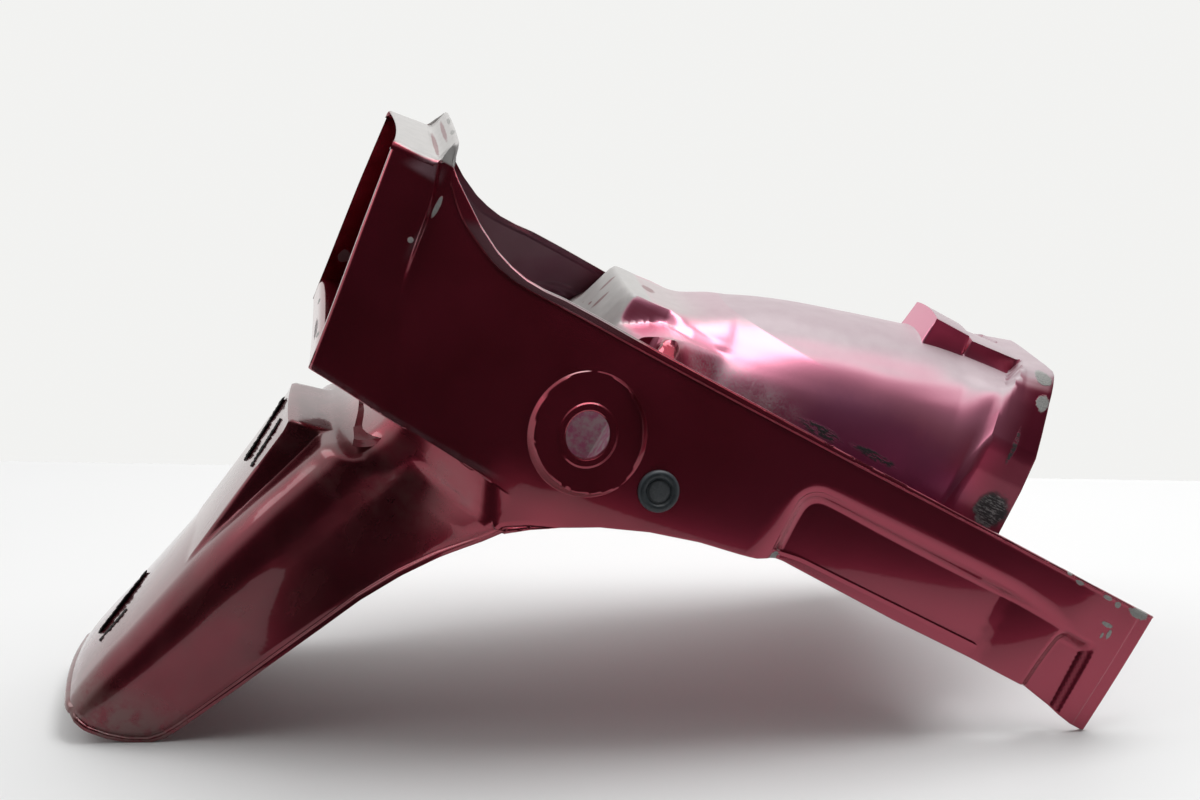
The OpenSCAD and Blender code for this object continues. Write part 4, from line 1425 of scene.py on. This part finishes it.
PLUG_PROFILE = [(0, 1.9), (3, 1.95), (6.2, 1.9), (7.0, 1.6), (7.4, 0.9), (8.2, 0.8), (8.8, 1.4), (9.4, 2.5), (10.4, 3.0), (11.6, 3.0), (12.8, 2.6), (13.7, 1.8),
                (14.15, 0.8), (14.1, -0.3), (12.5, -0.6), (10, -0.7), (9.8, -4.0), (0, -4.1)]
plugs = []
for sgn, nm in ((-1, "hole_plug_right"), (1, "hole_plug_left")):
    pb = revolve(PLUG_PROFILE, 72, (PLUG_C[0], sgn * 145.3, PLUG_C[1]), 11.5, sgn)
    plugs.append(finish_build(pb, nm + "_skin", RUBBER, 50, recalc=True))


def torn_strip(name, p0, p1, width, thick, seed, normal_u=-1.0, gaps=()):
    """ragged strip between two points of the flap's rear face, given as (u, y, w)"""
    rng = np.random.RandomState(seed)
    p0, p1 = np.array(p0, float), np.array(p1, float)
    L = np.linalg.norm(p1 - p0)
    n = int(L / 1.1)
    d = (p1 - p0) / L
    out = np.array([-0.97, 0.0, -0.22]) ; out -= d * (out @ d); out /= np.linalg.norm(out)
    side_v = np.cross(d, out)
    m = 13
    b = Build()
    walk_a = np.cumsum(rng.randn(n)) * 0.42; walk_b = np.cumsum(rng.randn(n)) * 0.42
    walk_a -= np.linspace(walk_a[0], walk_a[-1], n); walk_b -= np.linspace(walk_b[0], walk_b[-1], n)
    ragged_a = walk_a + rng.randn(n) * 0.8; ragged_b = walk_b + rng.randn(n) * 0.8
    start = 0
    segs = []
    i = 0
    while i < n - 4:
        ln = rng.randint(18, 44)
        segs.append((i, min(n - 1, i + ln)))
        i += ln + rng.randint(-1, 2)
    for a, c in segs:
        if c - a < 3:
            continue
        G = np.zeros((c - a + 1, m, 3)); H = np.zeros_like(G)
        for r in range(a, c + 1):
            t = r / (n - 1)
            e = min(1.0, (r - a + 1.1) / 1.6, (c - r + 1.1) / 1.6)
            ha = -width / 2 * e + ragged_a[r]; hb = width / 2 * e + ragged_b[r]
            if hb - ha < 0.8:
                hb = ha + 0.8
            base = p0 + d * L * t
            for k in range(m):
                x = ha + (hb - ha) * k / (m - 1)
                edge = min(1.0, 3.2 * min(k, m - 1 - k) / (m - 1))
                h = thick * (0.25 + 0.75 * rng.rand()) * (0.25 + 0.75 * edge)
                q = base + side_v * x
                q[0] += 0.0
                G[r - a, k] = q + out * h
                H[r - a, k] = q - out * 0.35
        b2 = slab(G, 0.3, inner=H)
        o = b.n
        for V in b2.V:
            b.V.append(V); b.N.append(np.zeros_like(V))
        b.F += [tuple(o + j for j in f) for f in b2.F]
        b.n += b2.n
    return b


def face_u(w, y):
    """rear face of the flap or pad at a level and distance from the middle"""
    base = float(flap_rear(np.array([w]))[0]) + y * y / CROWN
    top = sstep(np.array((-123.0 - w) / 7.5))
    line = np.interp(w, [-249, -139], [-177.5, -161.0]) + y * y / 1500.0
    e = float(sstep(np.array((53.2 - abs(y)) / 5.0)) * top) if w > -252 else 0.0
    return base + min(0.0, line - base) * e


def on_face(y, w):
    return (face_u(w, y), y, w)


upper = join([torn_strip("a", on_face(36, -142), on_face(2, -184), 19, 1.8, 3), torn_strip("b", on_face(-14, -141), on_face(-33, -176), 7, 1.4, 4)])
lower = join([torn_strip("c", on_face(33, -306), on_face(-3, -348), 15, 1.6, 5), torn_strip("d", on_face(-14, -318), on_face(-22, -345), 5, 1.2, 6)])
foam_u = finish_build(upper, "foam_tape_upper_skin", FOAM, 60, recalc=True)
foam_l = finish_build(lower, "foam_tape_lower_skin", FOAM, 60, recalc=True)

for ob, node, slot in ((shell, "fender_shell", "painted_shell"), (plugs[0], "hole_plug_right", "plug_rubber"), (plugs[1], "hole_plug_left", "plug_rubber"),
                       (foam_u, "foam_tape_upper", "foam_tape"), (foam_l, "foam_tape_lower", "foam_tape")):
    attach(ob, "root")
    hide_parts(node)


# ------------------------------------------------------------------ floor, light and surroundings
def floor_hit(px, py):
    d = Vector(fwd) + right * ((px - 600) / 1900.0) + upv * ((400 - py) / 1900.0)
    o = M.translation
    t = -o.z / d.z
    return o + d * t


hl, hr = floor_hit(0, 461), floor_hit(1200, 481)
dv = (hr - hl).normalized()
back_l, back_r = hl - dv * 2.2, hr + dv * 2.2
fl = bpy.data.meshes.new("floor")
rim = [(back_l.x, back_l.y), (back_l.x, -0.31), (-0.20, -0.31), (0.02, -1.25), (back_r.x, -1.25), (back_r.x, back_r.y)]
nr = len(rim)
fl.from_pydata([(x, y, 0) for x, y in rim] + [(x, y, -0.004) for x, y in rim], [],
               [tuple(range(nr)), tuple(range(2 * nr - 1, nr - 1, -1))] + [(i, i + nr, (i + 1) % nr + nr, (i + 1) % nr) for i in range(nr)])
floor = bpy.data.objects.new("floor", fl)
bpy.context.scene.collection.objects.link(floor)
fm, fnt, fb = material("floor_matt")
fN = Net(fnt)
fnt.links.new(fN.mix(fN.noise(300, 3, 0.5), (0.80, 0.805, 0.81), (0.83, 0.835, 0.84)), fb.inputs["Base Color"])
fb.inputs["Roughness"].default_value = 0.55
fb.inputs["Specular IOR Level"].default_value = 0.3
fl.materials.append(fm)


def area(name, loc, aim, size, power, color=(1, 1, 1)):
    l = bpy.data.lights.new(name, "AREA")
    l.shape = "RECTANGLE"; l.size, l.size_y = size
    l.energy = power; l.color = color
    o = bpy.data.objects.new(name, l)
    d = (Vector(aim) - Vector(loc)).normalized()
    o.rotation_euler = d.to_track_quat("-Z", "Y").to_euler()
    o.location = loc
    bpy.context.scene.collection.objects.link(o)
    return o


area("overhead", (0.62, 0.18, 1.95), (0.05, 0.0, 0.1), (1.4, 1.4), 27)
area("left_soft", (-1.6, 0.5, 1.5), (0.0, 0.0, 0.2), (1.0, 1.0), 7)

world = bpy.data.worlds.new("studio")
bpy.context.scene.world = world
world.use_nodes = True
wt = world.node_tree
wt.nodes.clear()
wo = wt.nodes.new("ShaderNodeOutputWorld")
bg = wt.nodes.new("ShaderNodeBackground")
wt.links.new(bg.outputs[0], wo.inputs[0])
tc = wt.nodes.new("ShaderNodeTexCoord")
sp = wt.nodes.new("ShaderNodeSeparateXYZ")
wt.links.new(tc.outputs["Generated"], sp.inputs[0])


def wramp(v, a, b, lo, hi):
    n = wt.nodes.new("ShaderNodeMapRange"); n.interpolation_type = "SMOOTHSTEP"
    wt.links.new(v, n.inputs["Value"])
    n.inputs["From Min"].default_value = a; n.inputs["From Max"].default_value = b
    n.inputs["To Min"].default_value = lo; n.inputs["To Max"].default_value = hi
    return n.outputs["Result"]


def wmath(op, a, b):
    n = wt.nodes.new("ShaderNodeMath"); n.operation = op
    for i, v in ((0, a), (1, b)):
        if hasattr(v, "is_output"):
            wt.links.new(v, n.inputs[i])
        else:
            n.inputs[i].default_value = v
    return n.outputs[0]


behind = wramp(wmath("SUBTRACT", sp.outputs["Y"], wmath("MULTIPLY", sp.outputs["X"], 0.32)), -0.22, 0.18, 0.0, 1.0)
above = wramp(wmath("ADD", sp.outputs["Z"], wmath("MULTIPLY", sp.outputs["Y"], 0.6)), 0.45, 0.75, 0.0, 1.0)
lum = wmath("MAXIMUM", behind, wmath("MULTIPLY", above, 0.75))
lum = wmath("ADD", wmath("MULTIPLY", lum, 0.86), 0.03)
mixw = wt.nodes.new("ShaderNodeMix"); mixw.data_type = "RGBA"
wt.links.new(lum, mixw.inputs[0])
ca, cb = [i for i in mixw.inputs if i.type == "RGBA"]
ca.default_value = (0.0, 0.0, 0.0, 1); cb.default_value = (1.0, 1.0, 0.985, 1)
wt.links.new([o for o in mixw.outputs if o.type == "RGBA"][0], bg.inputs["Color"])
bg.inputs["Strength"].default_value = 1.0
bpy.context.scene.view_settings.view_transform = "Standard"
